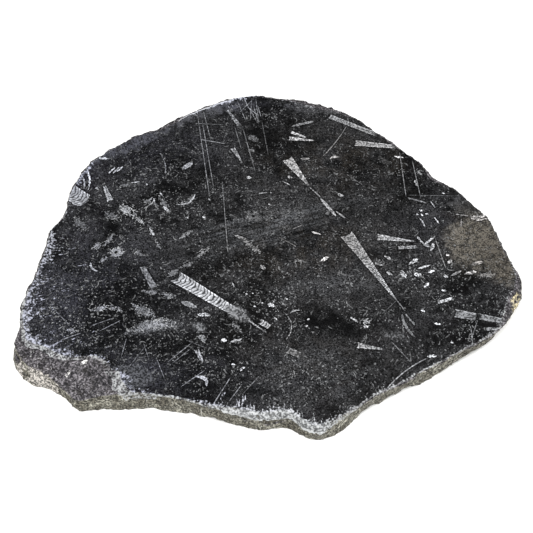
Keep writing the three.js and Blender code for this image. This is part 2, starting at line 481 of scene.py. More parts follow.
SCRATCHES: tuple[Mark, ...] = (
    # The long ones that run in from the back edge
    scratch((-71, 160), (-56, 54), 0.6),
    scratch((-66, 150), (-52, 60), 0.6),
    scratch((-65, 162), (-57, 124), 0.6),
    scratch((-45, 72), (-38, -12), 0.6, glow=0.9),
    scratch((-35, 142), (-28, 112), 0.5, glow=0.8),
    scratch((-27, 139), (-15, 84), 0.6, glow=0.8),
    scratch((-74, 146), (-45, 144), 0.6, glow=0.7),
    scratch((-68, 125), (-43, 119), 1, glow=0.8),
    scratch((-26, 178), (-13, 146), 0.6),
    scratch((-33, 177), (-24, 148), 0.6, glow=0.8),
    scratch((-19, 180), (-20, 150), 0.6, glow=0.8),
    scratch((-15, 179), (-12, 148), 0.6),
    scratch((-31, 160), (-18, 178), 0.6, glow=0.8),
    scratch((-26, 179), (-22, 167), 0.8),
    scratch((-23, 168), (-13, 157), 0.9),
    scratch((-17, 169), (-12, 145), 0.7),
    scratch((-13, 169), (-10, 155), 0.8),
    scratch((-9, 148), (-3, 104), 0.5, glow=0.6),
    scratch((46, 101), (71, 142), 0.8, bow=-1.5),
    # The right side
    scratch((119, 108), (121, 52), 0.6),
    scratch((130, 98), (134, 52), 0.6),
    scratch((122, 52), (138, 46), 1.5),
    scratch((123, 55), (168, 54), 0.5, glow=0.5),
    scratch((142, 9), (149, -29), 0.6),
    scratch((68, 81), (83, 67), 0.6, glow=0.6),
    scratch((92, -76), (105, -62), 0.5, glow=0.5),
    scratch((163, -87), (161, -116), 0.7, bow=1.5),
    scratch((170, -83), (162, -104), 0.7, glow=0.9),
    scratch((97, -104), (112, -125), 0.8, glow=0.6),
    scratch((88, -153), (126, -120), 0.9, bow=3, glow=1.3),
    # The front and the left
    scratch((-119, -100), (-122, -119), 0.5, glow=0.8),
    scratch((-93, -122), (-86, -140), 0.5),
    scratch((-84, -124), (-66, -106), 0.6),
    scratch((-82, -127), (-66, -111), 0.5, glow=0.7),
    scratch((-73, -148), (-54, -132), 0.6, glow=0.9),
    scratch((-46, -163), (-33, -138), 0.7),
    scratch((-34, -161), (-24, -145), 0.6),
    scratch((-10, -137), (-24, -155), 0.5, glow=0.6),
    scratch((-105, -106), (-100, -120), 0.5, glow=0.6),
    scratch((-117, -132), (-102, -107), 0.5, glow=0.5),
    scratch((-70, -103), (-53, -111), 0.5, glow=0.6),
    scratch((-173, -103), (-157, -96), 0.7),
    scratch((-150, -89), (-132, -81), 0.6, glow=0.8),
    scratch((-142, -94), (-125, -83), 0.6, glow=0.8),
    scratch((-182, -72), (-168, -87), 0.6, glow=0.7),
    scratch((18, 15), (27, 20), 0.6, glow=0.9),
    scratch((6, 6), (22, -5), 0.6, glow=0.7),
)

BLOOMS: tuple[Bloom, ...] = (
    Bloom(Wash.FLECKS, (132, -28), (34, 30), strength=0.7),
    Bloom(Wash.FLECKS, (-165, -70), (45, 34)),
    Bloom(Wash.FLECKS, (-130, -105), (50, 18), strength=0.7),
    Bloom(Wash.FLECKS, (-15, -62), (45, 30), strength=0.7),
    Bloom(Wash.FLECKS, (-45, -118), (40, 25), strength=0.8),
    Bloom(Wash.FLECKS, (-110, 45), (65, 45), strength=0.6),
    Bloom(Wash.FLECKS, (165, -100), (32, 18), strength=1.2),
    Bloom(Wash.FLECKS, (185, -62), (16, 16), strength=0.6),
    Bloom(Wash.FLECKS, (30, -140), (60, 28), strength=0.45),
    Bloom(Wash.FLECKS, (60, -70), (40, 25), strength=0.4),
    Bloom(Wash.FLECKS, (-15, 165), (32, 14), strength=0.9),
    Bloom(Wash.FLECKS, (10, 155), (26, 10), strength=0.5),
    Bloom(Wash.DARK, (58, -92), (18, 11)),
    Bloom(Wash.DARK, (38, -82), (22, 9)),
    Bloom(Wash.DARK, (-88, -110), (30, 12)),
    Bloom(Wash.DARK, (-10, 135), (22, 22), strength=0.45),
    Bloom(Wash.DARK, (10, 115), (25, 12), strength=0.7),
    Bloom(Wash.DARK, (30, 135), (70, 24), strength=0.25),
    Bloom(Wash.DARK, (35, -110), (55, 30), strength=0.25),
    Bloom(Wash.DARK, (112, -66), (10, 8)),
    Bloom(Wash.DARK, (138, -95), (16, 9)),
    Bloom(Wash.DARK, (158, -46), (16, 9)),
    Bloom(Wash.DARK, (-20, -152), (40, 7), strength=0.8),
    Bloom(Wash.DARK, (-88, 24), (18, 14), strength=0.7),
    Bloom(Wash.DARK, (177, 41), (22, 10), turn=-40, strength=0.8),
    # Painted sheen: where pale streaks stand in for light reflected by the polish
    Bloom(Wash.PAINTED_SHEEN, (-10, 22), (75, 12), turn=17),
    Bloom(Wash.PAINTED_SHEEN, (-15, 0), (55, 7), turn=19, strength=0.7),
    Bloom(Wash.PAINTED_SHEEN, (60, -45), (50, 10), turn=8, strength=0.4),
    Bloom(Wash.PAINTED_SHEEN, (35, -135), (40, 22), turn=10, strength=0.5),
    Bloom(Wash.BROWN, (25, -5), (70, 40), strength=0.7),
    Bloom(Wash.BROWN, (60, 100), (80, 40), strength=0.6),
    Bloom(Wash.BROWN, (180, 0), (34, 40), edge=4),
    Bloom(Wash.BROWN, (200, -30), (14, 22)),
    Bloom(Wash.BROWN, (30, -120), (60, 40), strength=0.4),
    Bloom(Wash.COOL, (-160, -70), (70, 90)),
    Bloom(Wash.COOL, (-120, 110), (70, 40), strength=0.8),
    Bloom(Wash.COOL, (-70, -140), (60, 30), strength=0.8),
    Bloom(Wash.COOL, (140, 25), (22, 30), strength=0.3),
    Bloom(Wash.COOL, (-175, 75), (14, 24), strength=0.8),
    Bloom(Wash.COOL, (-25, 172), (40, 14), strength=0.7),
    Bloom(Wash.MATT, (177, 3), (29, 23), turn=-8, edge=7),
    Bloom(Wash.MATT, (181, -22), (31, 17), strength=0.5, edge=5),
    Bloom(Wash.MATT, (200, -34), (12, 22), strength=0.55, edge=3),
    Bloom(Wash.DARK, (194, -18), (18, 22), strength=0.6),
    Bloom(Wash.MATT, (176, 41), (20, 10), turn=-40),
    Bloom(Wash.MATT, (-122, 126), (62, 10), turn=33, strength=0.9),
    Bloom(Wash.MATT, (-50, 165), (34, 8), turn=15, strength=0.9),
    Bloom(Wash.MATT, (40, 166), (36, 7), turn=-9, strength=0.9),
    Bloom(Wash.PALE, (-206, -121), (5, 5), strength=0.65),
    Bloom(Wash.PALE, (-186, -136), (19, 6), turn=-33, strength=0.8, edge=3),
    Bloom(Wash.PALE, (-112, -148), (16, 5), strength=0.4),
    Bloom(Wash.YELLOW, (207, -64), (8, 15), strength=0.58),
    Bloom(Wash.WHITE, (-152, -124), (4, 1.8), turn=25),
    Bloom(Wash.WHITE, (-164, -133), (2.8, 1.3), turn=55),
)

BRUISES: tuple[Bruise, ...] = (
    Bruise(154, 10, width=9, skirt=0.5, strength=0.68),
    Bruise(168, 9, width=8, skirt=0.5, strength=0.40),
    Bruise(186, 16, width=34, skirt=1, strength=0.61),
    Bruise(201, 11, width=38, skirt=3, strength=0.66),
    Bruise(204.5, 4, width=9, skirt=2, strength=0.7),
    Bruise(211, 12, width=26, skirt=6, strength=0.64),
    Bruise(221, 7, width=7, skirt=4, strength=0.45),
    Bruise(232, 9, width=16, skirt=9, strength=0.6),
    Bruise(248, 10, width=4, skirt=2, strength=0.65),
    Bruise(256, 7, width=14, skirt=5, strength=0.8),
    Bruise(266, 10, width=8, skirt=9, strength=0.95),
    Bruise(277, 10, width=8.5, skirt=10, strength=1.05),
    Bruise(289, 9, width=10, skirt=4, strength=0.56),
    Bruise(302, 20, width=4, skirt=1, strength=0.62),
    Bruise(333, 14, width=6, skirt=1.5, strength=0.55),
    Bruise(350, 12, width=3, skirt=0.5, strength=0.45),
    Bruise(106, 15, width=9, skirt=0.5, strength=0.95),
    Bruise(80, 16, width=5, skirt=0.5, strength=0.42),
)


def lattice(cells: Array, seed: int) -> Array:
    """A repeatable value from -1 to 1 for each whole-number cell, hashed from its numbers and the seed.

    Args:
        cells: Whole numbers, shape (..., 3).
        seed: Picks one of many such lattices.

    Returns:
        The values, shape (...).
    """
    most = 0xFFFFFFFF
    primes = np.array((374761393, 668265263, 2246822519), dtype=np.uint32)
    mixed = (cells.astype(np.int64) & most).astype(np.uint32) * primes
    value = mixed[..., 0] ^ mixed[..., 1] ^ mixed[..., 2] ^ np.uint32(seed * int(primes[1]) & most)
    for shift in (15, 13, 16):
        value = (value ^ (value >> np.uint32(shift))) * primes[2]
    return value / (most / 2) - 1


def noise(places: Array, size: float, seed: int) -> Array:
    """Smooth noise from -1 to 1: lattice values blended along each axis by 6t^5 - 15t^4 + 10t^3.

    Args:
        places: Points, shape (..., 3).
        size: The lattice's spacing.
        seed: Picks the lattice.

    Returns:
        The noise at each point, shape (...).
    """
    scaled = places / size
    cell = np.floor(scaled)
    part = scaled - cell
    blend = part**3 * (part * (part * 6 - 15) + 10)
    total = np.zeros(places.shape[:-1])
    for corner in itertools.product((0, 1), repeat=3):
        weight = np.prod(np.where(corner, blend, 1 - blend), axis=-1)
        total += weight * lattice(cell + corner, seed)
    return total


def facets(places: Array, size: float, seed: int) -> Array:
    """Flat broken faces: each point lies on a tilted plane through the nearest of some scattered points.

    Args:
        places: Points, shape (..., 3).
        size: The spacing of the scattered points, one in each cell of a lattice.
        seed: Picks the points and the tilts.

    Returns:
        Each plane's height at the point, about -1 to 1, shape (...).
    """
    scaled = places / size
    cell = np.floor(scaled)
    nearest = np.full(places.shape[:-1], np.inf)
    height = np.zeros(places.shape[:-1])
    for step in itertools.product((-1, 0, 1), repeat=3):
        home = cell + step
        jitter = np.stack([lattice(home, seed + axis) for axis in range(3)], axis=-1)
        tilt = np.stack([lattice(home, seed + 3 + axis) for axis in range(3)], axis=-1)
        offset = scaled - (home + 0.5 + FACET_STRAY * jitter)
        distance = np.sum(offset**2, axis=-1)
        closer = distance < nearest
        nearest = np.where(closer, distance, nearest)
        height = np.where(closer, np.sum(offset * tilt, axis=-1), height)
    return height


def through(values: Array, places: Array, closed: bool) -> Array:
    """A smooth curve through evenly spaced rows of values, by the Catmull-Rom cubic.

    Args:
        values: The rows, counted from 0 along the first axis.
        places: Where to read the curve, in rows, shape (m,).
        closed: Whether the last row is followed by the first.

    Returns:
        The curve's values, with m in place of the first axis.
    """
    count = len(values)
    row = np.floor(places).astype(int)
    t = (places - row).reshape(-1, *[1] * (values.ndim - 1))
    rows = [row + step for step in (-1, 0, 1, 2)]
    before, near, far, after = (values[r % count if closed else np.clip(r, 0, count - 1)] for r in rows)
    bend = 2 * before - 5 * near + 4 * far - after + t * (3 * (near - far) + after - before)
    return near + 0.5 * t * (far - before + t * bend)


@dataclass(frozen=True)
class Rim:
    """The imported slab's rim, column by column: the reach and the height of each point of its profile."""

    points: Array

    @classmethod
    def of_node(cls, node: bpy.types.Object) -> "Rim":
        """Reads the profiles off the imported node, whose points stand in columns at even angles.

        Args:
            node: The slab's own object in the frame.

        Returns:
            The rim, with points of shape (columns, profile points, 2) from the polish down to the base.
        """
        flat = np.empty(3 * len(node.data.vertices), np.float32)
        node.data.vertices.foreach_get("co", flat)
        places = np.unique(np.round(flat.reshape(-1, 3) / MM, 2), axis=0)
        reach = np.hypot(places[:, 0], places[:, 1])
        places, reach = places[reach > AXIS_REACH], reach[reach > AXIS_REACH]
        columns = np.count_nonzero(places[:, 2] > places[:, 2].max() - SAME_HEIGHT)
        turns = np.arctan2(places[:, 1], places[:, 0]) / math.tau
        column = np.round(turns * columns).astype(int) % columns
        order = np.lexsort((-places[:, 2], column))
        return cls(np.stack((reach, places[:, 2]), axis=-1)[order].reshape(columns, -1, 2))

    def at(self, angles: Array) -> Array:
        """The profiles at any angles, read off smooth curves round the rim."""
        return through(self.points, angles / math.tau % 1 * len(self.points), closed=True)


@dataclass(frozen=True)
class Fracture:
    """The finer relief of the broken rim, in rows of (size, height) in millimetres, and its seeds."""

    lumps: tuple[Point, ...] = ((8.0, 0.7), (3.6, 0.45), (1.7, 0.22))
    planes: tuple[Point, ...] = ((7.0, 0.9), (3.0, 0.35))
    nibbles: tuple[Point, ...] = ((6.0, 0.55), (2.4, 0.35))
    relief_seed: int = 41
    edge_seed: int = 50

    @staticmethod
    def stack(
        form: Callable[[Array, float, int], Array], rows: tuple[Point, ...], places: Array, seed: int
    ) -> Array:
        """Adds up one form at all its sizes, each from a seed of its own."""
        return sum(height * form(places, size, seed + row) for row, (size, height) in enumerate(rows))

    def relief(self, places: Array) -> Array:
        """How far the broken stone stands out at each point: noise in lumps, and flat broken planes."""
        lumps = self.stack(noise, self.lumps, places, self.relief_seed)
        return lumps + self.stack(facets, self.planes, places, self.relief_seed)

    def edge(self, places: Array) -> Array:
        """How far the polish's edge comes and goes: small nibbles along it."""
        return self.stack(noise, self.nibbles, places, self.edge_seed)


@dataclass(frozen=True)
class Sheet:
    """Where each surface lies on the square map that its baked finish is kept on, as shares of the map."""

    face: Triple = (0.006, 0.245, 0.86)
    base: Triple = (0.735, 0.008, 0.258)
    strips: int = 4
    strip_left: float = 0.008
    strip_width: float = 0.715
    strip_low: float = 0.008
    strip_pitch: float = 0.057
    strip_height: float = 0.051

    def plan(self, places: Array, box: tuple[Array, Array], corner: Triple) -> Array:
        """Lays a flat surface on the map in plan: its low corner there, and one scale both ways.

        Args:
            places: Points in the slab's plan, shape (..., 2).
            box: The plan's low and high corners.
            corner: Left, low and width on the map.

        Returns:
            Places on the map, shape (..., 2).
        """
        left, low, width = corner
        return (left, low) + (places - box[0]) * (width / (box[1] - box[0])[0])

    def rim(self, column: Array, step: Array, columns: int, steps: int) -> Array:
        """Lays the rim on the map in strips, one above the other.

        Args:
            column: The column of each corner of each face, shape (faces, 4).
            step: The step down the rim of each corner, shape (faces, 4).
            columns: How many columns there are in all.
            steps: How many steps there are in all.

        Returns:
            Places on the map, shape (faces, 4, 2).
        """
        length = columns // self.strips
        strip = column[:, :1] // length
        across = self.strip_left + self.strip_width * (column - strip * length) / length
        up = self.strip_low + self.strip_pitch * strip + self.strip_height * (1 - step / steps)
        return np.stack((across, up), axis=-1)


@dataclass
class Layer:
    """Marks that share no face: each face corner's place in its mark, and the mark's form on each face."""

    local: Array
    form: dict[str, Array]
    free: Array

    @classmethod
    def empty(cls, faces: int) -> "Layer":
        """A layer with no mark in it, whose places are far outside any."""
        form = {name: np.ones((faces, 3)) for name in MARK_FORM}
        return cls(np.full((faces, 4, 3), FAR_OUTSIDE), form, np.ones(faces, bool))

    def take(self, mark: Mark, number: int, local: Array, owned: Array) -> None:
        """Gives a mark the faces that it owns.

        Args:
            mark: The mark.
            number: Its place in the list, which sets its noise.
            local: Along and across at the corners of its faces, shape (m, 4, 2).
            owned: The numbers of its faces, shape (m,).
        """
        self.free[owned] = False
        self.local[owned, :, :2] = local
        self.local[owned, :, 2] = number
        for name, value in mark.form().items():
            self.form[name][owned] = value


def layers_of(marks: tuple[Mark, ...], corners: Array) -> list[Layer]:
    """Sorts marks into as few layers as hold them, each mark into the first layer where its faces are free.

    Args:
        marks: The marks, of which later ones are drawn over earlier ones where they overlap.
        corners: The face's corners in plan, shape (faces, 4, 2).

    Returns:
        The layers, the lowest first.
    """
    layers: list[Layer] = []
    middles = corners.mean(axis=1)
    for number, mark in enumerate(marks):
        middle = np.add(mark.start, mark.end) / 2
        spread = mark.length / 2 + mark.width + abs(mark.bow) + MARK_MARGIN
        near = np.flatnonzero(np.hypot(*(middles - middle).T) < spread)
        local = mark.local(corners[near])
        margin = MARK_MARGIN + HABITS[mark.kind].ragged + HABITS[mark.kind].soft
        half = mark.width * max(mark.tip, 1) / 2 + margin
        alongside = np.abs(local[..., 0] - mark.length / 2) < mark.length / 2 + margin
        inside = (alongside & (np.abs(local[..., 1]) < half)).any(axis=1)
        owned = near[inside]
        layer = next((layer for layer in layers if layer.free[owned].all()), None)
        if layer is None:
            layer = Layer.empty(len(corners))
            layers.append(layer)
        layer.take(mark, number, local[inside], owned)
    return layers


@dataclass(frozen=True)
class Slab:
    """The whole stone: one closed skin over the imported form, cut finely enough to carry its marks.

    steps_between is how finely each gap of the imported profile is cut, and base_shares is where rings lie on
    the base. The nibbles fall off inwards as the nibble_fall power of the reach, and outwards over
    slope_points of the profile. The relief fades out over fade_top and fade_foot, the shares of the profile
    at its two ends.
    """

    rim: Rim
    fracture: Fracture = Fracture()
    sheet: Sheet = Sheet()
    face_points: int = 208
    steps_between: tuple[int, ...] = (5, 5, 4, 4, 4, 4, 4, 4, 3)
    base_shares: tuple[float, ...] = (0.96, 0.8, 0.55, 0.28)
    nibble_fall: float = 9.0
    slope_points: float = 2.0
    fade_top: float = 0.12
    fade_foot: float = 0.1

    @property
    def height(self) -> float:
        """The height of the polished face."""
        return float(self.rim.points[..., 1].max())

    @property
    def columns(self) -> int:
        """The points round the rim: the outer points of the face's grid."""
        return 4 * (self.face_points - 1)

    @property
    def angles(self) -> Array:
        """The angle of each column, in the order of the grid's outer points from its low right corner."""
        return np.arange(self.columns) * math.tau / self.columns - math.pi / 4

    def edge_reach(self, angles: Array) -> Array:
        """How far out the polish ends at each angle, before it is nibbled."""
        return self.rim.at(angles)[:, 0, 0]

    def nibbles(self, angles: Array) -> Array:
        """How far the nibbles move the polish's edge at each angle, read where the edge is."""
        reach = self.edge_reach(angles)
        return self.fracture.edge(upright(reach, angles, np.zeros_like(angles)))

    def face(self) -> Array:
        """The polished face: a square grid whose rings are drawn out to circles, and then to the outline.

        A grid point (a, b) lies on the ring max(|a|, |b|), at an angle that runs evenly along each side of
        its square, and the ring is scaled by the polish's reach at that angle.

        Returns:
            Points, shape (n, n, 3), with the outer ones on the polish's edge.
        """
        span = np.linspace(-1, 1, self.face_points)
        a, b = np.meshgrid(span, span, indexing="ij")
        ring = np.maximum(np.abs(a), np.abs(b))
        wide = np.abs(a) >= np.abs(b)
        slant = np.where(wide, b, -a) / np.where(wide, a, b)
        quarter = np.where(wide, np.where(a > 0, 0, math.pi), np.where(b > 0, math.pi / 2, -math.pi / 2))
        angle = quarter + slant * math.pi / 4
        reach = self.edge_reach(angle.ravel()) * ring.ravel()
        reach += self.nibbles(angle.ravel()) * ring.ravel() ** self.nibble_fall
        reach = reach.reshape(angle.shape)
        return upright(reach, angle, np.full_like(reach, self.height))

    def outer(self) -> Array:
        """Counts off the face's outer points.

        Returns:
            The numbers of the grid's outer points, anticlockwise from its low right corner.
        """
        number = np.arange(self.face_points**2).reshape(self.face_points, -1)
        sides = (number[-1, :-1], number[:0:-1, -1], number[0, :0:-1], number[:-1, 0])
        return np.concatenate(sides)

    def rings(self) -> tuple[Array, Array]:
        """The rim below the polish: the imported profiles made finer, with the fracture's relief on them.

        Each column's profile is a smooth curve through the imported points. The relief stands along the
        surface's own normal, and dies away towards the polish and the sawn face.

        Returns:
            Points, shape (columns, steps + 1, 3), and how far along the profile each is, in packed points.
        """
        places = [row + np.arange(steps) / steps for row, steps in enumerate(self.steps_between)]
        along = np.append(np.concatenate(places), len(self.steps_between))
        profile = through(self.rim.at(self.angles).swapaxes(0, 1), along, closed=False).swapaxes(0, 1)
        reach, height = profile[..., 0], profile[..., 1]
        reach = reach + self.nibbles(self.angles)[:, None] * np.clip(1 - along / self.slope_points, 0, 1)
        points = upright(reach, self.angles[:, None], height)

        down = np.gradient(points, axis=1)
        round_it = np.roll(points, -1, axis=0) - np.roll(points, 1, axis=0)
        normal = np.cross(down, round_it)
        normal /= np.linalg.norm(normal, axis=-1, keepdims=True)
        share = along / along[-1]
        strength = np.clip(share / self.fade_top, 0, 1) * np.clip((1 - share) / self.fade_foot, 0, 1)
        points = points + normal * (self.fracture.relief(points) * strength)[..., None]
        points[..., 2] = np.clip(points[..., 2], 0, self.height)
        return points, along

    def skin(self) -> "Skin":
        """Joins the face, the rim and the sawn base in one closed skin.

        Returns:
            The skin's points and faces, and the values that its finishes read.
        """
        face = self.face()
        rings, along = self.rings()
        foot = rings[:, -1]
        base = [foot * (share, share, 0) for share in self.base_shares]
        points = np.concatenate((face.reshape(-1, 3), rings[:, 1:].reshape(-1, 3), *base, np.zeros((1, 3))))

        steps = len(along) - 1
        grid = np.arange(self.face_points**2).reshape(self.face_points, -1)
        top = np.stack((grid[:-1, :-1], grid[1:, :-1], grid[1:, 1:], grid[:-1, 1:]), axis=-1).reshape(-1, 4)
        below = grid.size + np.arange(self.columns * steps).reshape(self.columns, steps)
        wall = np.column_stack((self.outer(), below))
        floor = below.size + grid.size + np.arange(self.columns * len(base)).reshape(len(base), -1)
        floor = np.column_stack((below[:, -1], floor.T))
        column, step = np.meshgrid(np.arange(self.columns), np.arange(steps), indexing="ij")
        side = quads_between(wall)
        under = quads_between(floor)
        hub = np.full(self.columns, len(points) - 1)
        fan = np.stack((floor[:, -1], hub, np.roll(floor[:, -1], -1)), axis=-1)

        drop = np.linalg.norm(np.diff(rings, axis=1), axis=-1).cumsum(axis=1)
        reach = np.hypot(face[..., 0], face[..., 1])
        angle = np.arctan2(face[..., 1], face[..., 0]).ravel()
        within = (self.edge_reach(angle) + self.nibbles(angle)) - reach.ravel()
        within[self.outer()] = 0
        rest = len(points) - face.shape[0] ** 2 - drop.size
        inside = np.concatenate((within, -drop.ravel(), np.full(rest, -drop.max())))

        box = points[:, :2].min(axis=0), points[:, :2].max(axis=0)
        corner_columns = np.stack((column, column, column + 1, column + 1), axis=-1).reshape(-1, 4)
        corner_steps = np.stack((step, step + 1, step + 1, step), axis=-1).reshape(-1, 4)
        uv = (
            self.sheet.plan(points[top, :2], box, self.sheet.face).reshape(-1, 2),
            self.sheet.rim(corner_columns, corner_steps, self.columns, steps).reshape(-1, 2),
            self.sheet.plan(points[under, :2], box, self.sheet.base).reshape(-1, 2),
            self.sheet.plan(points[fan, :2], box, self.sheet.base).reshape(-1, 2),
        )
        return Skin(points, top, side, under, fan, inside, np.concatenate(uv))


def upright(reach: Array, angle: Array, height: Array) -> Array:
    """Points at a reach from the slab's axis, at an angle from +X, and at a height."""
    return np.stack((reach * np.cos(angle), reach * np.sin(angle), height), axis=-1)


def quads_between(rings: Array) -> Array:
    """Joins neighbouring columns of points in quads that face outwards, and the last to the first.

    Args:
        rings: Point numbers, shape (columns, steps + 1), each column down the rim or in under the base.

    Returns:
        The quads, shape (columns * steps, 4).
    """
    after = np.roll(rings, -1, axis=0)
    return np.stack((rings[:, :-1], rings[:, 1:], after[:, 1:], after[:, :-1]), axis=-1).reshape(-1, 4)


@dataclass(frozen=True)
class Skin:
    """The slab's closed skin as arrays, in millimetres."""

    points: Array
    top: Array
    side: Array
    under: Array
    fan: Array
    inside: Array
    uv: Array

    def to_object(self, name: str) -> bpy.types.Object:
        """Makes the mesh, in metres, with a place for one finish to each region.

        Args:
            name: The piece's name.

        Returns:
            The piece, in the scene.
        """
        mesh = bpy.data.meshes.new(name)
        faces = [*self.top.tolist(), *self.side.tolist(), *self.under.tolist(), *self.fan.tolist()]
        mesh.from_pydata(self.points * MM, [], faces)
        counts = (len(self.top), len(self.side), len(self.under) + len(self.fan))
        regions = np.repeat([region.value for region in Region], counts)
        mesh.polygons.foreach_set("material_index", regions.astype(np.int32))
        mesh.polygons.foreach_set("use_smooth", regions == Region.BROKEN.value)
        mesh.uv_layers.new(name="OFBake").data.foreach_set("uv", self.uv.astype(np.float32).ravel())
        piece = bpy.data.objects.new(name, mesh)
        bpy.context.collection.objects.link(piece)
        return piece

    def paint(self, mesh: bpy.types.Mesh, blooms: tuple[Bloom, ...], bruises: tuple[Bruise, ...]) -> None:
        """Writes the values that the finishes read at each point: the washes, the edge and the bruises.

        Args:
            mesh: The slab's mesh.
            blooms: The ellipses that add up to each wash.
            bruises: The bruised stretches of rim.
        """
        plan = self.points[:, :2]
        degrees = np.degrees(np.arctan2(plan[:, 1], plan[:, 0]))
        values = {wash.attribute: sum(b.at(plan) for b in blooms if b.wash is wash) for wash in Wash}
        values["inside"] = self.inside
        humps = np.stack([bruise.hump(degrees) for bruise in bruises])
        total = np.maximum(humps.sum(axis=0), LEAST_BRUISE)
        for name in ("width", "skirt", "strength"):
            values[name] = humps.T @ [getattr(bruise, name) for bruise in bruises] / total
        values["width"] *= np.minimum(total, 1)
        for name, value in values.items():
            store = mesh.attributes.new(name, "FLOAT", "POINT")
            store.data.foreach_set("value", np.asarray(value, np.float32))

    def mark(self, mesh: bpy.types.Mesh, marks: tuple[Mark, ...]) -> int:
        """Writes the marks' places and forms on the face, in layers.

        Args:
            mesh: The slab's mesh.
            marks: The fossils, grains and scratches.

        Returns:
            How many layers there are.
        """
        layers = layers_of(marks, self.points[self.top, :2])
        for number, layer in enumerate(layers):
            local = np.full((len(mesh.loops), 3), FAR_OUTSIDE, np.float32)
            local[: self.top.size] = layer.local.reshape(-1, 3)
            store = mesh.attributes.new(mark_attribute(number, "local"), "FLOAT_VECTOR", "CORNER")
            store.data.foreach_set("vector", local.ravel())
            for name, value in layer.form.items():
                form = np.ones((len(mesh.polygons), 3), np.float32)
                form[: len(self.top)] = value
                store = mesh.attributes.new(mark_attribute(number, name), "FLOAT_VECTOR", "FACE")
                store.data.foreach_set("vector", form.ravel())
        return len(layers)


def mark_attribute(layer: int, name: str) -> str:
    """The name on the mesh of one value of one layer of marks."""
    return f"mark_{layer}_{name}"


@dataclass(frozen=True)
class Grain:
    """One fractal noise about 0.5.

    size is the size of its features in millimetres, detail is how many times finer noise is added, rough is
    how strong each finer noise is, and wisps is how far it is drawn out.
    """

    size: float
    detail: float = 2.0
    rough: float = 0.5
    wisps: float = 0.0


@dataclass(frozen=True)
class Step:
    """A smooth step from start to end, as a value goes from low to high."""

    low: float
    high: float
    start: float = 0.0
    end: float = 1.0


@dataclass(frozen=True)
class Pattern:
    """A noise taken over a smooth step, which sets how much it covers and how sharply."""

    grain: Grain
    step: Step


@dataclass(frozen=True)
class Sliver:
    """One size of sliver: the width of its cells, the share of them that hold one, and its shape."""

    size: float
    share: float
    stretch: float = 1.0
    girth: float = 1.0


@dataclass(frozen=True)
class Relief:
    """A bump in a finish: its height in millimetres and its strength."""

    height: float
    strength: float


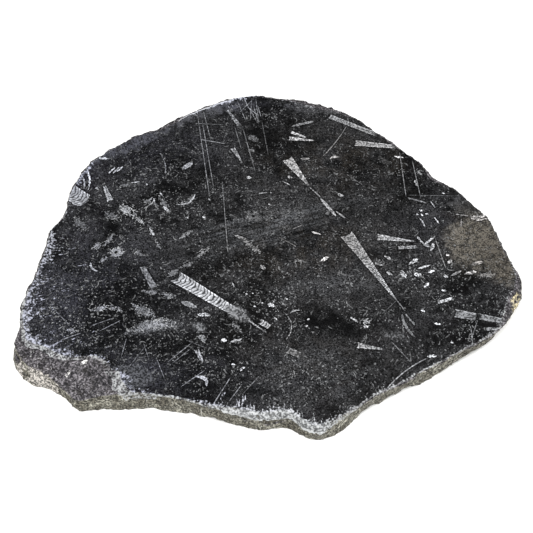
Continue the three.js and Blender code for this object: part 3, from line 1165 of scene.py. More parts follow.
class Wiring:
    """Adds shader nodes to a tree. Any input may be a number, a colour, or another node's output."""

    def __init__(self, tree: Tree) -> None:
        """Keeps the tree that nodes are added to."""
        self.tree = tree

    def add(self, kind: str, inputs: dict[str | int, Feed], **settings: object) -> Node:
        """Adds one node.

        Args:
            kind: The node's type.
            inputs: What goes into its sockets, by name or number.
            **settings: Its own settings, such as an operation.

        Returns:
            The node.
        """
        node = self.tree.nodes.new(kind)
        for name, value in settings.items():
            setattr(node, name, value)
        for key, value in inputs.items():
            self.feed(node.inputs[key], value)
        return node

    def feed(self, socket: Socket, value: Feed) -> None:
        """Links an output to a socket, or sets the socket.

        Args:
            socket: The input to feed.
            value: An output, a number, a vector or a colour.
        """
        if isinstance(value, Socket):
            self.tree.links.new(value, socket)
        else:
            socket.default_value = (*value, 1.0) if socket.type == "RGBA" else value

    def math(self, operation: str, *values: Feed, clamp: bool = False) -> Socket:
        """Arithmetic on numbers, such as SUBTRACT."""
        inputs = dict(enumerate(values))
        return self.add("ShaderNodeMath", inputs, operation=operation, use_clamp=clamp).outputs[0]

    def times(self, *values: Feed) -> Socket:
        """The product of numbers."""
        return functools.reduce(lambda total, value: self.math("MULTIPLY", total, value), values)

    def muladd(self, first: Feed, second: Feed, third: Feed) -> Socket:
        """The product of two numbers, plus a third."""
        return self.math("MULTIPLY_ADD", first, second, third)

    def vector(self, operation: str, *values: Feed) -> Socket:
        """Arithmetic on vectors, such as ADD."""
        return self.add("ShaderNodeVectorMath", dict(enumerate(values)), operation=operation).outputs[0]

    def scale(self, vector: Feed, by: Feed) -> Socket:
        """A vector or a colour times a number."""
        return self.add("ShaderNodeVectorMath", {0: vector, "Scale": by}, operation="SCALE").outputs[0]

    def length(self, vector: Feed) -> Socket:
        """The length of a vector."""
        return self.add("ShaderNodeVectorMath", {0: vector}, operation="LENGTH").outputs["Value"]

    def split(self, vector: Socket) -> tuple[Socket, Socket, Socket]:
        """The three numbers of a vector."""
        return tuple(self.add("ShaderNodeSeparateXYZ", {0: vector}).outputs)

    def join(self, x: Feed, y: Feed, z: Feed) -> Socket:
        """A vector from three numbers."""
        return self.add("ShaderNodeCombineXYZ", {0: x, 1: y, 2: z}).outputs[0]

    def ramp(self, value: Feed, low: Feed, high: Feed, start: Feed = 0.0, end: Feed = 1.0) -> Socket:
        """A smooth step from start to end as a value goes from low to high."""
        inputs = {0: value, 1: low, 2: high, 3: start, 4: end}
        return self.add("ShaderNodeMapRange", inputs, interpolation_type="SMOOTHSTEP").outputs[0]

    def step(self, value: Feed, step: Step) -> Socket:
        """A number taken over a smooth step."""
        return self.ramp(value, step.low, step.high, step.start, step.end)

    def mix(self, share: Feed, first: Feed, second: Feed) -> Socket:
        """A blend of two colours."""
        inputs = {0: share, 6: first, 7: second}
        return self.add("ShaderNodeMix", inputs, data_type="RGBA").outputs[2]

    def weigh(self, share: float, first: Feed, second: Feed) -> Socket:
        """The first number by its share, and the second by the rest."""
        return self.muladd(first, share, self.times(second, 1 - share))

    def noise(self, place: Feed, grain: Grain, output: str = "Fac") -> Socket:
        """Reads a noise.

        Args:
            place: Where to read it.
            grain: The noise.
            output: Fac for one number, or Color for three.

        Returns:
            The noise's value.
        """
        form = {"Detail": grain.detail, "Roughness": grain.rough, "Distortion": grain.wisps}
        inputs = {"Vector": place, "Scale": 1 / grain.size, **form}
        return self.add("ShaderNodeTexNoise", inputs).outputs[output]

    def pattern(self, place: Feed, pattern: Pattern) -> Socket:
        """A noise read at a place and taken over its step."""
        return self.step(self.noise(place, pattern.grain), pattern.step)

    def off_mean(self, noise: Socket) -> Socket:
        """How far a noise is from its mean, which is nothing along thin winding lines."""
        return self.math("ABSOLUTE", self.math("SUBTRACT", noise, NOISE_MEAN))

    def bump(self, height: Socket, relief: Relief) -> Socket:
        """The normal of a bumpy surface."""
        inputs = {"Height": height, "Distance": relief.height * MM, "Strength": relief.strength}
        return self.add("ShaderNodeBump", inputs).outputs[0]

    def value(self, name: str) -> Socket:
        """A number kept on the mesh."""
        return self.add("ShaderNodeAttribute", {}, attribute_name=name).outputs["Fac"]

    def triple(self, name: str) -> Socket:
        """A vector kept on the mesh."""
        return self.add("ShaderNodeAttribute", {}, attribute_name=name).outputs["Vector"]

    def place(self) -> Socket:
        """The point on the slab, in millimetres."""
        return self.scale(self.add("ShaderNodeTexCoord", {}).outputs["Object"], 1 / MM)

    def dress(
        self, shader: Node, colour: Feed, roughness: Feed, specular: float, normal: Socket | None = None
    ) -> None:
        """Feeds a Principled shader.

        Args:
            shader: The shader.
            colour: Its base colour.
            roughness: Its roughness.
            specular: How strongly it reflects, with 0.5 for glass.
            normal: The normal of a bumpy surface.
        """
        values = {"Base Color": colour, "Roughness": roughness, "Specular IOR Level": specular}
        if normal is not None:
            values["Normal"] = normal
        for name, value in values.items():
            self.feed(shader.inputs[name], value)

    def use(self, group: Tree, inputs: dict[str | int, Feed]) -> Outputs:
        """Places a node group."""
        return self.add("ShaderNodeGroup", inputs, node_tree=group).outputs

    def slivers(self, group: Tree, place: Socket, sliver: Sliver, share: Feed) -> Outputs:
        """Places slivers of one size, which lie as thickly as the share says."""
        form = {"Size": sliver.size, "Stretch": sliver.stretch, "Girth": sliver.girth}
        return self.use(group, {"Place": place, "Share": share, **form})

    def fringe(self, group: Tree, place: Socket) -> Outputs:
        """Places the crushed fringe, fed with the edge and the bruises that the mesh carries."""
        values = {name.title(): self.value(name) for name in ("inside", "width", "skirt", "strength")}
        return self.use(group, {"Place": place, **values})


class Effect:
    """A shader node group under construction: its wiring, its inputs by name, and a way to end it."""

    def __init__(self, name: str, inputs: dict[str, str], outputs: tuple[str, ...]) -> None:
        """Makes the group with its sockets.

        Args:
            name: The group's name.
            inputs: The inputs' names, and whether each is a Float or a Vector.
            outputs: The outputs' names. One that is called Colour is a colour, and the others are numbers.
        """
        self.tree = bpy.data.node_groups.new(name, "ShaderNodeTree")
        for label, kind in inputs.items():
            self.tree.interface.new_socket(label, in_out="INPUT", socket_type=f"NodeSocket{kind}")
        for label in outputs:
            kind = "NodeSocketColor" if label == "Colour" else "NodeSocketFloat"
            self.tree.interface.new_socket(label, in_out="OUTPUT", socket_type=kind)
        self.wiring = Wiring(self.tree)
        self.inputs = self.tree.nodes.new("NodeGroupInput").outputs
        self.ends = self.tree.nodes.new("NodeGroupOutput").inputs

    def close(self, **outputs: Socket) -> Tree:
        """Ends the group.

        Args:
            **outputs: What each output gives.

        Returns:
            The finished group.
        """
        for label, socket in outputs.items():
            self.wiring.feed(self.ends[label], socket)
        return self.tree


@dataclass(frozen=True)
class Flecks:
    """Scattered slivers of shell: a bent ellipse, turned at random, in a share of the cells of a scatter.

    jolt shifts the place by up to jolt_share of a cell, which makes the slivers ragged, and bend is the
    most that one is bent either way. reach and girth are half its length and half its width, as the least
    and what chance adds, in cells. edge and rim are where it ends and where the rim round it does, with 1
    on the ellipse itself.
    """

    jolt: Grain = Grain(1 / 0.7, 1)
    jolt_share: float = 0.10
    bend: float = 1.2
    reach: Point = (0.13, 0.34)
    girth: Point = (0.055, 0.085)
    edge: Step = Step(1.3, 0.7)
    rim: Step = Step(6.0, 1.5)

    def build(self) -> Tree:
        """Builds the group.

        With (x, y) the place in the turned cell, a sliver is where (x / a)^2 + ((y + k x x) / b)^2 is under
        1, with a scaled by the stretch and b by the girth.

        Returns:
            The group, which gives each sliver's mask, the rim round it and its tone.
        """
        inputs = {"Place": "Vector", **dict.fromkeys(("Size", "Share", "Stretch", "Girth"), "Float")}
        effect = Effect("Flecks", inputs, ("Mask", "Rim", "Tone"))
        w = effect.wiring
        place, size, share, stretch, girth = (effect.inputs[name] for name in inputs)
        shift = w.vector("SUBTRACT", w.noise(place, self.jolt, "Color"), (NOISE_MEAN,) * 3)
        jolted = w.vector("ADD", place, w.scale(shift, w.times(size, self.jolt_share)))
        flat = w.vector("MULTIPLY", w.scale(jolted, w.math("DIVIDE", 1.0, size)), (1, 1, 0))
        scatter = {"Vector": flat, "Scale": 1.0}
        cells = w.add("ShaderNodeTexVoronoi", scatter, voronoi_dimensions="2D").outputs
        home = cells["Position"]
        dice = w.add("ShaderNodeTexWhiteNoise", {"Vector": home}, noise_dimensions="2D").outputs
        turn, long, bend = w.split(cells["Color"])
        tone, fat, _ = w.split(dice["Color"])

        turning = {"Vector": w.vector("SUBTRACT", flat, home), "Angle": w.times(turn, math.tau)}
        x, y, _ = w.split(w.add("ShaderNodeVectorRotate", turning, rotation_type="Z_AXIS").outputs[0])
        bending = w.muladd(bend, 2 * self.bend, -self.bend)
        bent = w.muladd(w.times(x, x), bending, y)
        (short, longer), (thin, thicker) = self.reach, self.girth
        half_length = w.times(w.muladd(long, longer, short), stretch)
        half_width = w.times(w.muladd(fat, thicker, thin), girth)
        along = w.math("DIVIDE", x, half_length)
        across = w.math("DIVIDE", bent, half_width)
        inside = w.muladd(across, across, w.times(along, along))
        chosen = w.math("LESS_THAN", dice["Value"], share)
        mask = w.times(w.step(inside, self.edge), chosen)
        rim = w.times(w.step(inside, self.rim), chosen)
        return effect.close(Mask=mask, Rim=rim, Tone=tone)


@dataclass(frozen=True)
class Inclusion:
    """One layer of marks, each drawn in its own along and across.

    apart sets each mark's noise away from the next one's, and blunted is how near its ends the closing
    stops. A wisp is wisp_width wide, widens by wisp_growth towards the mark's middle, and by wisp_filling
    where the mark isn't patchy. wall is where a chamber's wall begins, as a share of the chamber from its
    middle.
    """

    apart: float = 7.3
    wobble: Grain = Grain(2.0, 1, 0.6)
    blunted: float = 0.99
    wisps: Grain = Grain(3.0, 2, 0.6, wisps=1.1)
    wisp_width: float = 0.035
    wisp_growth: float = 0.10
    wisp_filling: float = 0.4
    wisp_edge: float = 0.03
    stagger: Grain = Grain(5.0, 1, 0.5)
    stagger_most: float = 1.6
    wall: Step = Step(0.45, 0.85)
    wall_depth: float = 0.9
    speckle: Pattern = Pattern(Grain(1.5, 0), Step(0.58, 0.4))
    cloud: Pattern = Pattern(Grain(5.0, 1, 0.6), Step(0.36, 0.64, 0.75, 1.2))
    border: Step = Step(1.3, 0.3, 0.8, 1.35)
    hollow: float = 0.6
    rim: Step = Step(-2.0, -0.4)
    rim_depth: float = 0.7
    white: Colour = (0.96, 0.985, 1.0)
    hair: float = 0.01
    whole: float = 0.999

    def build(self) -> Tree:
        """Builds the group.

        A mark's half width tapers from head to tip, and closes at its ends as 1 - |c| ** blunt, with c from
        -1 to 1 along it. Noise makes its edge ragged. Chamber walls are lines where along + bend * across^2
        / half width passes a whole number of spacings, and noise sets them a little out of step. A patchy
        mark is solid in its middle and falls apart into wisps, which are the lines where a noise passes its
        mean.

        Returns:
            The group, which gives the marks' colour and mask, their dark rim and their shards.
        """
        inputs = {"Place": "Vector", "Local": "Vector", **{name.title(): "Vector" for name in MARK_FORM}}
        effect = Effect("Inclusion", inputs, ("Colour", "Mask", "Rim", "Shards"))
        w = effect.wiring
        along, across, number = w.split(effect.inputs["Local"])
        length, half, tip = w.split(effect.inputs["Shape"])
        soft, ragged, fade = w.split(effect.inputs["Edge"])
        spacing, bend, shards = w.split(effect.inputs["Fill"])
        bright, grain, patchy = w.split(effect.inputs["Look"])
        core, blunt, opacity = w.split(effect.inputs["Extra"])
        lifted = w.join(0.0, 0.0, w.times(number, self.apart))
        place = w.vector("ADD", effect.inputs["Place"], lifted)

        share = w.math("DIVIDE", along, length, clamp=True)
        taper = w.muladd(share, w.math("SUBTRACT", tip, 1.0), 1.0)
        from_middle = w.math("ABSOLUTE", w.muladd(share, 2.0, -1.0))
        bounded = w.math("MINIMUM", from_middle, self.blunted)
        closing = w.math("SUBTRACT", 1.0, w.math("POWER", bounded, blunt))
        reach = w.times(half, taper, closing)
        shake = w.math("SUBTRACT", w.noise(place, self.wobble), NOISE_MEAN)
        wobble = w.times(shake, ragged, 2.0)
        bowed = w.math("DIVIDE", w.times(bend, across, across), half)
        chamber = w.math("ADD", along, bowed)
        side = w.math("SUBTRACT", w.math("ADD", reach, wobble), w.math("ABSOLUTE", across))
        ends = w.math("MINIMUM", chamber, w.math("SUBTRACT", length, chamber))
        within = w.math("MINIMUM", side, w.math("ADD", ends, wobble))
        outline = w.ramp(within, w.times(soft, -1.0), soft)
        fading = w.ramp(share, w.math("SUBTRACT", self.whole, fade), 1.0, 1.0, 0.0)
        wisps = w.off_mean(w.noise(place, self.wisps))
        filled = w.muladd(w.math("DIVIDE", within, half), self.wisp_growth, self.wisp_width)
        thick = w.muladd(w.math("SUBTRACT", 1.0, patchy), self.wisp_filling, filled)
        solid = w.ramp(wisps, w.math("ADD", thick, self.wisp_edge), thick)

        stagger = w.times(w.noise(place, self.stagger), self.stagger_most)
        phase = w.math("FRACT", w.math("ADD", w.math("DIVIDE", chamber, spacing), stagger))
        swing = w.math("ABSOLUTE", w.muladd(phase, 2.0, -1.0))
        banded = w.math("GREATER_THAN", spacing, 0.0)
        walls = w.times(w.step(swing, self.wall), banded, self.wall_depth)
        tone = w.math("SUBTRACT", 1.0, w.times(w.pattern(place, self.speckle), grain))
        border = w.step(side, self.border)
        cloud = w.pattern(place, self.cloud)
        from_centre = w.length(w.join(w.muladd(length, -0.5, along), across, 0.0))
        hole = w.ramp(from_centre, w.times(core, self.hollow), w.math("ADD", core, self.hair))
        light = w.times(bright, tone, border, cloud, hole, w.math("SUBTRACT", 1.0, walls))
        mask = w.times(outline, fading, solid, opacity)
        rim = w.times(w.step(within, self.rim), fading, opacity, self.rim_depth)
        shards = w.times(outline, shards)
        return effect.close(Colour=w.scale(self.white, light), Mask=mask, Rim=rim, Shards=shards)


@dataclass(frozen=True)
class CrushedFringe:
    """Stone crushed white by blows on the rim: a dusty band along the polish's edge, with streaks inwards.

    The streaks are noise read on a ring of the radius ring, with a little drift inwards. They lengthen the
    band by up to longest, and shortest is what it has between them. wander is how the crushed stone's lower
    edge comes and goes, as the least and the spread. dusty and blotchy weigh the two noises that break the
    band up.
    """

    ring: float = 170.0
    drift: float = 0.18
    streaks: Pattern = Pattern(Grain(2.0, 2, 0.7), Step(0.44, 0.74))
    sharpness: float = 2.5
    longest: float = 3.0
    shortest: float = 0.45
    patches: Pattern = Pattern(Grain(12.0, 2, 0.6), Step(0.36, 0.64, 0.3, 1.3))
    cover: Step = Step(1.2, 0.0)
    inner_edge: Step = Step(0.0, 0.3)
    lower_edge: Step = Step(-0.3, 0.4)
    wander_grain: Grain = Grain(9.0, 2, 0.6)
    wander: Point = (0.2, 1.6)
    line: Step = Step(2.0, 0.5)
    line_strength: Step = Step(0.7, 0.95)
    line_lift: float = 0.16
    dust: Grain = Grain(1.8, 1, 0.6)
    dusty: float = 1.5
    blotch: Grain = Grain(4.5, 2, 0.6)
    blotchy: float = 1.1
    crushed: Step = Step(0.36, 0.8)
    dust_share: float = 0.6
    paleness: Step = Step(0.4, 0.64)
    shine: Step = Step(0.4, 1.0, 0.66, 1.0)
    grey: Colour = (0.085, 0.088, 0.09)
    white: Colour = (0.48, 0.49, 0.495)
    hair: float = 0.01

    def build(self) -> Tree:
        """Builds the group.

        The band's cover falls from the polish's edge to nothing at its width. Noise is added to cover times
        strength, and what passes a step is crushed, so that the band falls apart into dust where it thins
        out. Below the edge the crushed stone ends at the skirt, along a brighter line.

        Returns:
            The group, which gives the fringe's colour and mask.
        """
        inputs = {"Place": "Vector", **dict.fromkeys(("Inside", "Width", "Skirt", "Strength"), "Float")}
        effect = Effect("Crushed fringe", inputs, ("Colour", "Mask"))
        w = effect.wiring
        place, inside, width, skirt, strength = (effect.inputs[name] for name in inputs)
        round_ring = w.scale(w.vector("NORMALIZE", w.vector("MULTIPLY", place, (1, 1, 0))), self.ring)
        streak = w.pattern(w.vector("ADD", round_ring, w.scale(place, self.drift)), self.streaks)
        reach = w.muladd(w.math("POWER", streak, self.sharpness), self.longest, self.shortest)
        spread = w.times(width, w.pattern(place, self.patches), reach)
        cover = w.step(w.math("DIVIDE", inside, w.math("ADD", spread, self.hair)), self.cover)
        least, most = self.wander
        wander = w.muladd(w.noise(place, self.wander_grain), most, least)
        below = w.muladd(skirt, wander, inside)
        line = w.times(w.step(below, self.line), w.step(strength, self.line_strength))

        dust = w.noise(place, self.dust)
        blotch = w.noise(place, self.blotch)
        loose = w.muladd(blotch, self.blotchy, w.times(dust, self.dusty))
        looseness = w.math("SUBTRACT", loose, (self.dusty + self.blotchy) * NOISE_MEAN)
        broken = w.math("ADD", w.times(cover, strength), looseness)
        edges = w.times(w.step(cover, self.inner_edge), w.step(below, self.lower_edge))
        mask = w.times(w.step(broken, self.crushed), edges)
        fleck = w.weigh(self.dust_share, dust, blotch)
        pale = w.step(w.muladd(line, self.line_lift, fleck), self.paleness)
        colour = w.scale(w.mix(pale, self.grey, self.white), w.step(strength, self.shine))
        return effect.close(Colour=colour, Mask=mask)


@dataclass(frozen=True)
class Effects:
    """The node groups that the finishes share."""

    flecks: Tree
    inclusion: Tree
    fringe: Tree

    @classmethod
    def make(cls) -> "Effects":
        """Builds each group once."""
        return cls(Flecks().build(), Inclusion().build(), CrushedFringe().build())


@dataclass(frozen=True)
class Canvas:
    """What the polish is drawn with: wiring, the point on the slab, the washes and their cool cast."""

    w: Wiring
    place: Socket
    wash: dict[Wash, Socket]
    cast: Socket


@dataclass(frozen=True)
class Polished:
    """Black limestone honed to a low gloss, with everything that its cut face shows."""

    black: Colour = (0.0018, 0.0018, 0.0019)
    charcoal: Colour = (0.0165, 0.0165, 0.017)
    brown: Colour = (0.0205, 0.0175, 0.0138)
    # The painted sheen's colour: pale grey that stands in for light reflected by the polish
    painted_sheen: Colour = (0.085, 0.088, 0.094)
    unpolished: Colour = (0.032, 0.0325, 0.0345)
    earthy: Colour = (0.069, 0.062, 0.051)
    shell: Colour = (0.74, 0.755, 0.77)
    # What the blue-grey and brown washes multiply colours by, and the share of the first that marks take
    neutral: Colour = (1.0, 1.0, 1.03)
    cool: Colour = (1.04, 1.06, 1.30)
    white: Colour = (1.0, 1.0, 1.0)
    warm: Colour = (1.0, 0.92, 0.84)
    cool_marks: float = 0.4
    # The shine, from polished to ground stone
    gloss: Step = Step(0.0, 1.0, 0.34, 0.75)
    specular: float = 0.16
    # The stone: broad and small clouds, brown stains, painted sheen in streaks that run one way, and speckle
    broad: Grain = Grain(44.0, 2, 0.6)
    cloud: Grain = Grain(7.0, 3, 0.65)
    cloud_share: float = 0.25
    cloud_step: Step = Step(0.4, 0.62)
    stain: Pattern = Pattern(Grain(14.0, 3, 0.6), Step(0.36, 0.66, 0.0, 0.85))
    sheen_turn: float = 19.0
    sheen_squeeze: Triple = (0.09, 1.0, 1.0)
    sheen_streaks: Pattern = Pattern(Grain(3.4, 3, 0.65), Step(0.34, 0.7, 0.0, 0.7))
    speckle: Pattern = Pattern(Grain(1.2, 1, 0.6), Step(0.36, 0.66, 0.15, 2.1))
    # Fine threads of shell, in patches
    thread: Grain = Grain(2.8, 1, 0.6, wisps=0.7)
    thread_edge: Step = Step(0.035, 0.0)
    thread_patch: Pattern = Pattern(Grain(8.0, 2, 0.6), Step(0.36, 0.66, 0.0, 0.08))
    # Ground stone: its grit and blotches, its dark parts, and the ragged edge of its patches
    grit: Grain = Grain(1.3, 1, 0.6)
    grit_relief: Relief = Relief(0.4, 0.6)
    blotch: Grain = Grain(5.0, 3, 0.65)
    blotch_share: float = 0.5
    blotch_step: Step = Step(0.42, 0.6, 0.2, 1.85)
    ground_dark: float = 0.65
    edge_broad: Grain = Grain(15.0, 2, 0.6)
    edge_broad_weight: float = 0.9
    edge_fine: Grain = Grain(4.0, 2, 0.65)
    edge_step: Step = Step(0.25, 0.65)
    # Slivers: their sizes, how far apart the sizes are read, and what makes them lie thickly or not at all
    flecks: tuple[Sliver, ...] = (
        Sliver(2.3, 0.22, 0.6, 1.9),
        Sliver(3.8, 0.18, 0.8, 1.2),
        Sliver(5.8, 0.13, 1.0, 0.85),
        Sliver(7.0, 0.18, 1.2, 0.5),
        Sliver(8.0, 0.10, 0.35, 1.2),
    )
    fleck_shift: Triple = (31.0, 17.0, 9.0)
    fleck_cloud: Pattern = Pattern(Grain(24.0, 3, 0.65), Step(0.36, 0.66, 0.1, 1.4))
    fleck_wash: float = 1.1
    fleck_shards: float = 3.5
    bare_marks: float = 2.0
    bare_dark: float = 0.5
    # Their tones: the power that darkens most of them, what shards lose of it, the darkest, and their rim
    contrast: float = 1.45
    contrast_lost: float = 0.7
    darkest: float = 0.1
    rim_share: float = 0.9

    def material(self, effects: Effects, layers: int) -> Material:
        """Builds the finish.

        Args:
            effects: The shared node groups.
            layers: How many layers of marks the mesh carries.

        Returns:
            The material.
        """
        material, w, shader = new_material("polished_limestone")
        wash = {wash: w.value(wash.attribute) for wash in Wash}
        canvas = Canvas(w, w.place(), wash, w.mix(wash[Wash.COOL], self.neutral, self.cool))
        matt = self.unpolished_mask(canvas)
        grit = w.noise(canvas.place, self.grit)
        colour = w.mix(matt, self.stone(canvas), self.ground(canvas, grit))
        colour = self.threads(canvas, colour)
        colour, covered, shards = self.marks(canvas, effects, layers, colour)
        crowd = self.crowding(canvas, covered, shards)
        colour = self.slivers(canvas, effects, crowd, shards, colour)
        fringe = w.fringe(effects.fringe, canvas.place)
        colour = w.mix(fringe["Mask"], colour, w.vector("MULTIPLY", fringe["Colour"], canvas.cast))
        rough = w.math("MAXIMUM", matt, fringe["Mask"])
        normal = w.bump(w.times(grit, rough), self.grit_relief)
        w.dress(shader, colour, w.step(rough, self.gloss), self.specular, normal)
        return material

    def stone(self, canvas: Canvas) -> Socket:
        """The stone itself: clouds of charcoal in black, brown and cool tinges, and pale painted sheen one
        way.

        Args:
            canvas: What the polish is drawn with.

        Returns:
            The stone's colour.
        """
        w, place, wash = canvas.w, canvas.place, canvas.wash
        clouds = w.weigh(self.cloud_share, w.noise(place, self.cloud), w.noise(place, self.broad))
        colour = w.mix(w.step(clouds, self.cloud_step), self.black, self.charcoal)
        stain = w.times(wash[Wash.BROWN], w.pattern(place, self.stain))
        colour = w.mix(stain, colour, self.brown)
        colour = w.mix(wash[Wash.DARK], colour, self.black)
        colour = w.vector("MULTIPLY", colour, canvas.cast)
        # Painted sheen: pale streaks one way, standing in for light reflected by the polish
        turning = {"Vector": place, "Rotation": (0.0, 0.0, -math.radians(self.sheen_turn))}
        turned = w.add("ShaderNodeMapping", turning).outputs[0]
        sheen_streaks = w.pattern(w.vector("MULTIPLY", turned, self.sheen_squeeze), self.sheen_streaks)
        colour = w.mix(w.times(wash[Wash.PAINTED_SHEEN], sheen_streaks), colour, self.painted_sheen)
        return w.scale(colour, w.pattern(place, self.speckle))

    def threads(self, canvas: Canvas, colour: Socket) -> Socket:
        """Lays fine curved lines over the stone, where a noise passes its mean.

        Args:
            canvas: What the polish is drawn with.
            colour: The stone's colour.

        Returns:
            The colour of the stone with its threads.
        """
        w, place = canvas.w, canvas.place
        thread = w.step(w.off_mean(w.noise(place, self.thread)), self.thread_edge)
        return w.mix(w.times(thread, w.pattern(place, self.thread_patch)), colour, self.shell)

    def ground(self, canvas: Canvas, grit: Socket) -> Socket:
        """Stone that was ground but not polished: gritty, bluish or brown, and dark in places.

        Args:
            canvas: What the polish is drawn with.
            grit: The fine noise that also roughens it.

        Returns:
            The ground stone's colour.
        """
        w, wash = canvas.w, canvas.wash
        tinted = w.vector("MULTIPLY", canvas.cast, self.unpolished)
        raw = w.mix(wash[Wash.BROWN], tinted, self.earthy)
        uneven = w.weigh(self.blotch_share, w.noise(canvas.place, self.blotch), grit)
        raw = w.scale(raw, w.step(uneven, self.blotch_step))
        return w.mix(w.times(wash[Wash.DARK], self.ground_dark), raw, self.black)

    def unpolished_mask(self, canvas: Canvas) -> Socket:
        """Where the wheel never reached: the wash's patches, with edges broken up by noise.

        Args:
            canvas: What the polish is drawn with.

        Returns:
            1 on ground stone and 0 on polished stone.
        """
        w, place = canvas.w, canvas.place
        broad, fine = w.noise(place, self.edge_broad), w.noise(place, self.edge_fine)
        edge = w.muladd(broad, self.edge_broad_weight, fine)
        ragged = w.math("SUBTRACT", edge, (1 + self.edge_broad_weight) * NOISE_MEAN)
        return w.step(w.math("ADD", ragged, canvas.wash[Wash.MATT]), self.edge_step)

    def marks(
        self, canvas: Canvas, effects: Effects, layers: int, colour: Socket
    ) -> tuple[Socket, Socket, Socket]:
        """Lays the layers of marks over the stone, which is black close round each mark.

        Args:
            canvas: What the polish is drawn with.
            effects: The shared node groups.
            layers: How many layers of marks there are.
            colour: The stone's colour.

        Returns:
            The stone's colour with its marks, how far they cover it, and how thickly shards lie in them.
        """
        w, wash = canvas.w, canvas.wash
        coolness = w.times(wash[Wash.COOL], self.cool_marks)
        warmth = w.mix(wash[Wash.BROWN], self.white, self.warm)
        tinge = w.vector("MULTIPLY", w.mix(coolness, self.neutral, self.cool), warmth)
        covered, shards = 0.0, 0.0
        for layer in range(layers):
            values = {name.title(): w.triple(mark_attribute(layer, name)) for name in ("local", *MARK_FORM)}
            marks = w.use(effects.inclusion, {"Place": canvas.place, **values})
            colour = w.mix(marks["Rim"], colour, self.black)
            colour = w.mix(marks["Mask"], colour, w.vector("MULTIPLY", marks["Colour"], tinge))
            covered = w.math("MAXIMUM", covered, marks["Mask"])
            shards = w.math("MAXIMUM", shards, marks["Shards"])
        return colour, covered, shards

    def crowding(self, canvas: Canvas, covered: Socket, shards: Socket) -> Socket:
        """How thickly slivers of shell lie: more in some clouds and washes, and most in broken lumps.

        Args:
            canvas: What the polish is drawn with.
            covered: How far marks cover the place, which keeps slivers off it, as pure black stone does.
            shards: How far it is in a lump of broken shell.

        Returns:
            What scales the share of each size of sliver.
        """
        w, wash = canvas.w, canvas.wash
        dark = w.times(wash[Wash.DARK], self.bare_dark)
        bare = w.muladd(covered, self.bare_marks, dark)
        cloud = w.pattern(canvas.place, self.fleck_cloud)
        crowd = w.math("SUBTRACT", w.muladd(wash[Wash.FLECKS], self.fleck_wash, cloud), bare)
        return w.muladd(shards, self.fleck_shards, crowd)

    def slivers(
        self, canvas: Canvas, effects: Effects, crowd: Socket, shards: Socket, colour: Socket
    ) -> Socket:
        """Lays slivers of shell of each size over the stone, which is black close round each.

        Args:
            canvas: What the polish is drawn with.
            effects: The shared node groups.
            crowd: How thickly they lie.
            shards: How far the place is in a lump of broken shell, where they are paler.
            colour: The stone's colour.

        Returns:
            The colour of the stone with its slivers.
        """
        w = canvas.w
        contrast = w.muladd(shards, -self.contrast_lost, self.contrast)
        for number, sliver in enumerate(self.flecks):
            shifted = w.vector("ADD", canvas.place, tuple(shift * number for shift in self.fleck_shift))
            flecks = w.slivers(effects.flecks, shifted, sliver, w.times(crowd, sliver.share))
            tone = w.math("POWER", flecks["Tone"], contrast)
            shade = w.muladd(tone, 1 - self.darkest, self.darkest)
            colour = w.mix(w.times(flecks["Rim"], shade, self.rim_share), colour, self.black)
            colour = w.mix(w.times(flecks["Mask"], shade), colour, self.shell)
        return colour


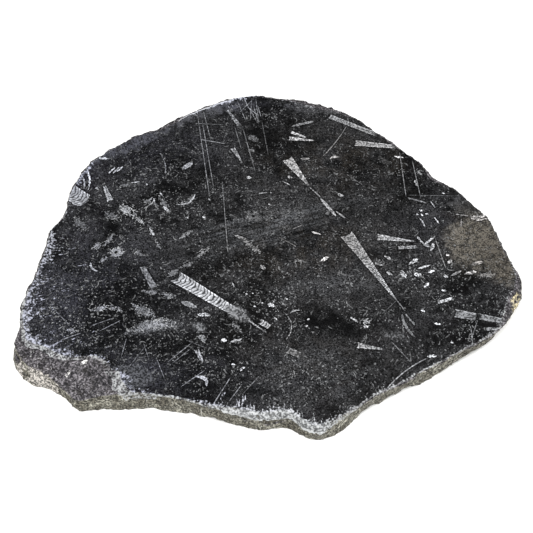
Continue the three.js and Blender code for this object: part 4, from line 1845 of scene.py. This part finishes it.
@dataclass(frozen=True)
class Broken:
    """The raw stone of the rim: grey-brown limestone with crusts, seams and bits of shell."""

    dark: Colour = (0.078, 0.072, 0.057)
    middle: Colour = (0.160, 0.154, 0.128)
    light: Colour = (0.34, 0.33, 0.28)
    slope_dark: Colour = (0.013, 0.0122, 0.0142)
    slope_light: Colour = (0.150, 0.140, 0.150)
    pale: Colour = (0.32, 0.30, 0.275)
    yellow: Colour = (0.44, 0.385, 0.25)
    seam: Colour = (0.022, 0.020, 0.017)
    shell: Colour = (0.62, 0.61, 0.59)
    roughness: float = 0.85
    specular: float = 0.25
    # Lumps and fine grain, with the lumps' share on the side and on the slopes that face upwards
    lump: Grain = Grain(9.0, 3, 0.6)
    fine: Grain = Grain(2.2, 2, 0.65)
    side_lumps: float = 0.65
    middle_step: Step = Step(0.4, 0.56)
    light_step: Step = Step(0.54, 0.64)
    slope_lumps: float = 0.4
    slope_step: Step = Step(0.4, 0.64)
    upward: Step = Step(0.4, 0.8)
    # Crusts, whose patches noise breaks up
    crust: Grain = Grain(4.0, 2, 0.65)
    crust_break: float = 4.0
    crust_step: Step = Step(0.35, 0.6)
    # Dark seams along the bedding, bits of shell, and pits
    bedding: Triple = (0.08, 0.08, 1.0)
    seams: Grain = Grain(3.0, 3, 0.6)
    seam_edge: Step = Step(0.02, 0.0, 0.0, 0.65)
    bits: Sliver = Sliver(3.2, 0.35, girth=1.3)
    bits_opacity: float = 0.8
    pits: Pattern = Pattern(Grain(1.5, 2, 0.7), Step(0.42, 0.6, 0.28, 1.75))
    # The bump, from the fine grain and a finer one
    grit: Grain = Grain(1.0, 1, 0.6)
    fine_share: float = 0.7
    relief: Relief = Relief(1.2, 0.8)

    def material(self, effects: Effects) -> Material:
        """Builds the finish.

        Args:
            effects: The shared node groups.

        Returns:
            The material.
        """
        material, w, shader = new_material("broken_limestone")
        place = w.place()
        lumps, fine = w.noise(place, self.lump), w.noise(place, self.fine)
        coarse = w.weigh(self.side_lumps, lumps, fine)
        side = w.mix(w.step(coarse, self.middle_step), self.dark, self.middle)
        side = w.mix(w.step(coarse, self.light_step), side, self.light)
        even = w.weigh(self.slope_lumps, lumps, fine)
        slope = w.mix(w.step(even, self.slope_step), self.slope_dark, self.slope_light)
        facing = w.split(w.add("ShaderNodeNewGeometry", {}).outputs["Normal"])[2]
        colour = w.mix(w.step(facing, self.upward), side, slope)

        uneven = w.math("SUBTRACT", w.noise(place, self.crust), NOISE_MEAN)
        broken_up = w.muladd(uneven, self.crust_break, 1.0)
        for wash, crust in ((Wash.PALE, self.pale), (Wash.YELLOW, self.yellow), (Wash.WHITE, self.shell)):
            spread = w.times(broken_up, w.value(wash.attribute))
            colour = w.mix(w.step(spread, self.crust_step), colour, crust)
        bedded = w.noise(w.vector("MULTIPLY", place, self.bedding), self.seams)
        colour = w.mix(w.step(w.off_mean(bedded), self.seam_edge), colour, self.seam)
        bits = w.slivers(effects.flecks, place, self.bits, self.bits.share)
        shown = w.times(bits["Mask"], bits["Tone"], self.bits_opacity)
        colour = w.mix(shown, colour, self.shell)
        colour = w.scale(colour, w.pattern(place, self.pits))
        fringe = w.fringe(effects.fringe, place)
        colour = w.mix(fringe["Mask"], colour, fringe["Colour"])
        normal = w.bump(w.weigh(self.fine_share, fine, w.noise(place, self.grit)), self.relief)
        w.dress(shader, colour, self.roughness, self.specular, normal)
        return material


@dataclass(frozen=True)
class Sawn:
    """The underside: matt grey, with the faint arcs that a large saw leaves."""

    dark: Colour = (0.055, 0.055, 0.056)
    light: Colour = (0.115, 0.114, 0.110)
    shell: Colour = (0.32, 0.32, 0.32)
    roughness: float = 0.8
    specular: float = 0.25
    # The saw's arcs, and how far they wander
    saw_centre: Point = (-60.0, 620.0)
    saw_pitch: float = 3.4
    groove: Grain = Grain(1.0, 2, 0.6)
    relief: Relief = Relief(0.25, 0.5)
    wander: Grain = Grain(30.0, 2, 0.5)
    wander_most: float = 4.0
    # Clouds, bits of shell and speckle
    cloud: Grain = Grain(26.0, 4, 0.65)
    groove_share: float = 0.35
    tone_step: Step = Step(0.36, 0.64)
    bits: Sliver = Sliver(6.0, 0.2)
    bits_opacity: float = 0.4
    speckle: Pattern = Pattern(Grain(0.9, 3, 0.7), Step(0.3, 0.7, 0.7, 1.3))

    def material(self, effects: Effects) -> Material:
        """Builds the finish: arcs about the saw's centre, clouds, and a few slivers of shell.

        Args:
            effects: The shared node groups.

        Returns:
            The material.
        """
        material, w, shader = new_material("sawn_limestone")
        place = w.place()
        away = w.length(w.vector("SUBTRACT", place, (*self.saw_centre, 0.0)))
        shaken = w.math("ADD", away, w.times(w.noise(place, self.wander), self.wander_most))
        groove = w.noise(w.join(w.math("DIVIDE", shaken, self.saw_pitch), 0.0, 0.0), self.groove)
        tone = w.weigh(self.groove_share, groove, w.noise(place, self.cloud))
        colour = w.mix(w.step(tone, self.tone_step), self.dark, self.light)
        bits = w.slivers(effects.flecks, place, self.bits, self.bits.share)
        shown = w.times(bits["Mask"], bits["Tone"], self.bits_opacity)
        colour = w.mix(shown, colour, self.shell)
        colour = w.scale(colour, w.pattern(place, self.speckle))
        w.dress(shader, colour, self.roughness, self.specular, w.bump(groove, self.relief))
        return material


def new_material(name: str) -> tuple[Material, Wiring, Node]:
    """Starts a material.

    Args:
        name: The finish's name.

    Returns:
        The material, the wiring of its tree, and its Principled shader.
    """
    material = bpy.data.materials.new(name)
    material.use_nodes = True
    shader = next(node for node in material.node_tree.nodes if node.type == "BSDF_PRINCIPLED")
    return material, Wiring(material.node_tree), shader


@dataclass(frozen=True)
class Lamp:
    """One soft light: where it stands, what it points at and how wide it is in metres, and its watts."""

    name: str
    at: Triple
    aim: Triple
    width: float
    power: float

    def build(self) -> None:
        """Puts the lamp in the scene, facing its aim."""
        data = bpy.data.lights.new(self.name, "AREA")
        data.size = self.width
        data.energy = self.power
        lamp = bpy.data.objects.new(self.name, data)
        lamp.location = self.at
        lamp.rotation_euler = (Vector(self.aim) - Vector(self.at)).to_track_quat("-Z", "Y").to_euler()
        bpy.context.collection.objects.link(lamp)


@dataclass(frozen=True)
class Studio:
    """A pale floor, soft lamps and the camera, which looks down at the slab from its front."""

    target: Triple = (-4.67, -18.08, 11.0)
    elevation: float = 52.0
    distance: float = 1000.0
    lens: float = 77.67
    sensor: float = 36.0
    floor_half: float = 3.0
    floor_drop: float = 0.2
    floor_colour: Colour = (0.93, 0.93, 0.92)
    floor_roughness: float = 0.9
    floor_specular: float = 0.1
    sky: Colour = (1.0, 1.0, 1.0)
    sky_strength: float = 0.14
    lamps: tuple[Lamp, ...] = (
        Lamp("key", (-0.5, -0.9, 1.9), (0, 0, 0), 1.4, 68.0),
        Lamp("fill", (1.3, -0.2, 1.5), (0, 0, 0), 1.2, 28.0),
    )

    def build(self) -> None:
        """Puts the floor, the light and the camera in the scene."""
        self.floor()
        for lamp in self.lamps:
            lamp.build()
        world = bpy.data.worlds.new("studio")
        world.use_nodes = True
        sky = world.node_tree.nodes["Background"].inputs
        sky["Color"].default_value = (*self.sky, 1.0)
        sky["Strength"].default_value = self.sky_strength
        bpy.context.scene.world = world
        bpy.context.scene.view_settings.view_transform = "Standard"
        bpy.context.scene.camera = self.camera()

    def floor(self) -> bpy.types.Object:
        """Makes the floor: one flat square, a hair below the slab, so that the two don't share a plane.

        Returns:
            The floor, in the scene.
        """
        half, low = self.floor_half, -self.floor_drop * MM
        mesh = bpy.data.meshes.new("floor")
        corners = [(-half, -half, low), (half, -half, low), (half, half, low), (-half, half, low)]
        mesh.from_pydata(corners, [], [(0, 1, 2, 3)])
        material, w, shader = new_material("floor_paper")
        w.dress(shader, self.floor_colour, self.floor_roughness, self.floor_specular)
        mesh.materials.append(material)
        floor = bpy.data.objects.new("floor", mesh)
        bpy.context.collection.objects.link(floor)
        return floor

    def camera(self) -> bpy.types.Object:
        """Sets up the camera, at its distance from the target, straight in front of it and above.

        Returns:
            The camera, in the scene.
        """
        data = bpy.data.cameras.new("camera")
        data.lens = self.lens
        data.sensor_width = self.sensor
        camera = bpy.data.objects.new("camera", data)
        up = math.radians(self.elevation)
        x, y, z = self.target
        back, rise = self.distance * math.cos(up), self.distance * math.sin(up)
        camera.location = (x * MM, (y - back) * MM, (z + rise) * MM)
        camera.rotation_euler = (math.pi / 2 - up, 0, 0)
        bpy.context.collection.objects.link(camera)
        return camera


def main() -> None:
    """Builds the slab and its studio, and reports each piece."""
    logging.basicConfig(level=logging.INFO, format="%(name)s: %(message)s")
    effects = Effects.make()
    slab = Slab(Rim.of_node(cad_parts[NODE]))
    skin = slab.skin()
    marks = (*FOSSILS, *GRAINS, *SCRATCHES)
    piece = skin.to_object("fossil_slab_stone")
    skin.paint(piece.data, BLOOMS, BRUISES)
    layers = skin.mark(piece.data, marks)
    piece.data.materials.append(Polished().material(effects, layers))
    piece.data.materials.append(Broken().material(effects))
    piece.data.materials.append(Sawn().material(effects))
    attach(piece, "root")
    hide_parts(NODE)
    faces = len(piece.data.polygons)
    LOG.info("%s: %d faces, %d marks in %d layers", piece.name, faces, len(marks), layers)
    studio = Studio()
    studio.build()
    LOG.info("studio: floor, %d lamps and camera", len(studio.lamps))


if __name__ == "__main__":
    main()
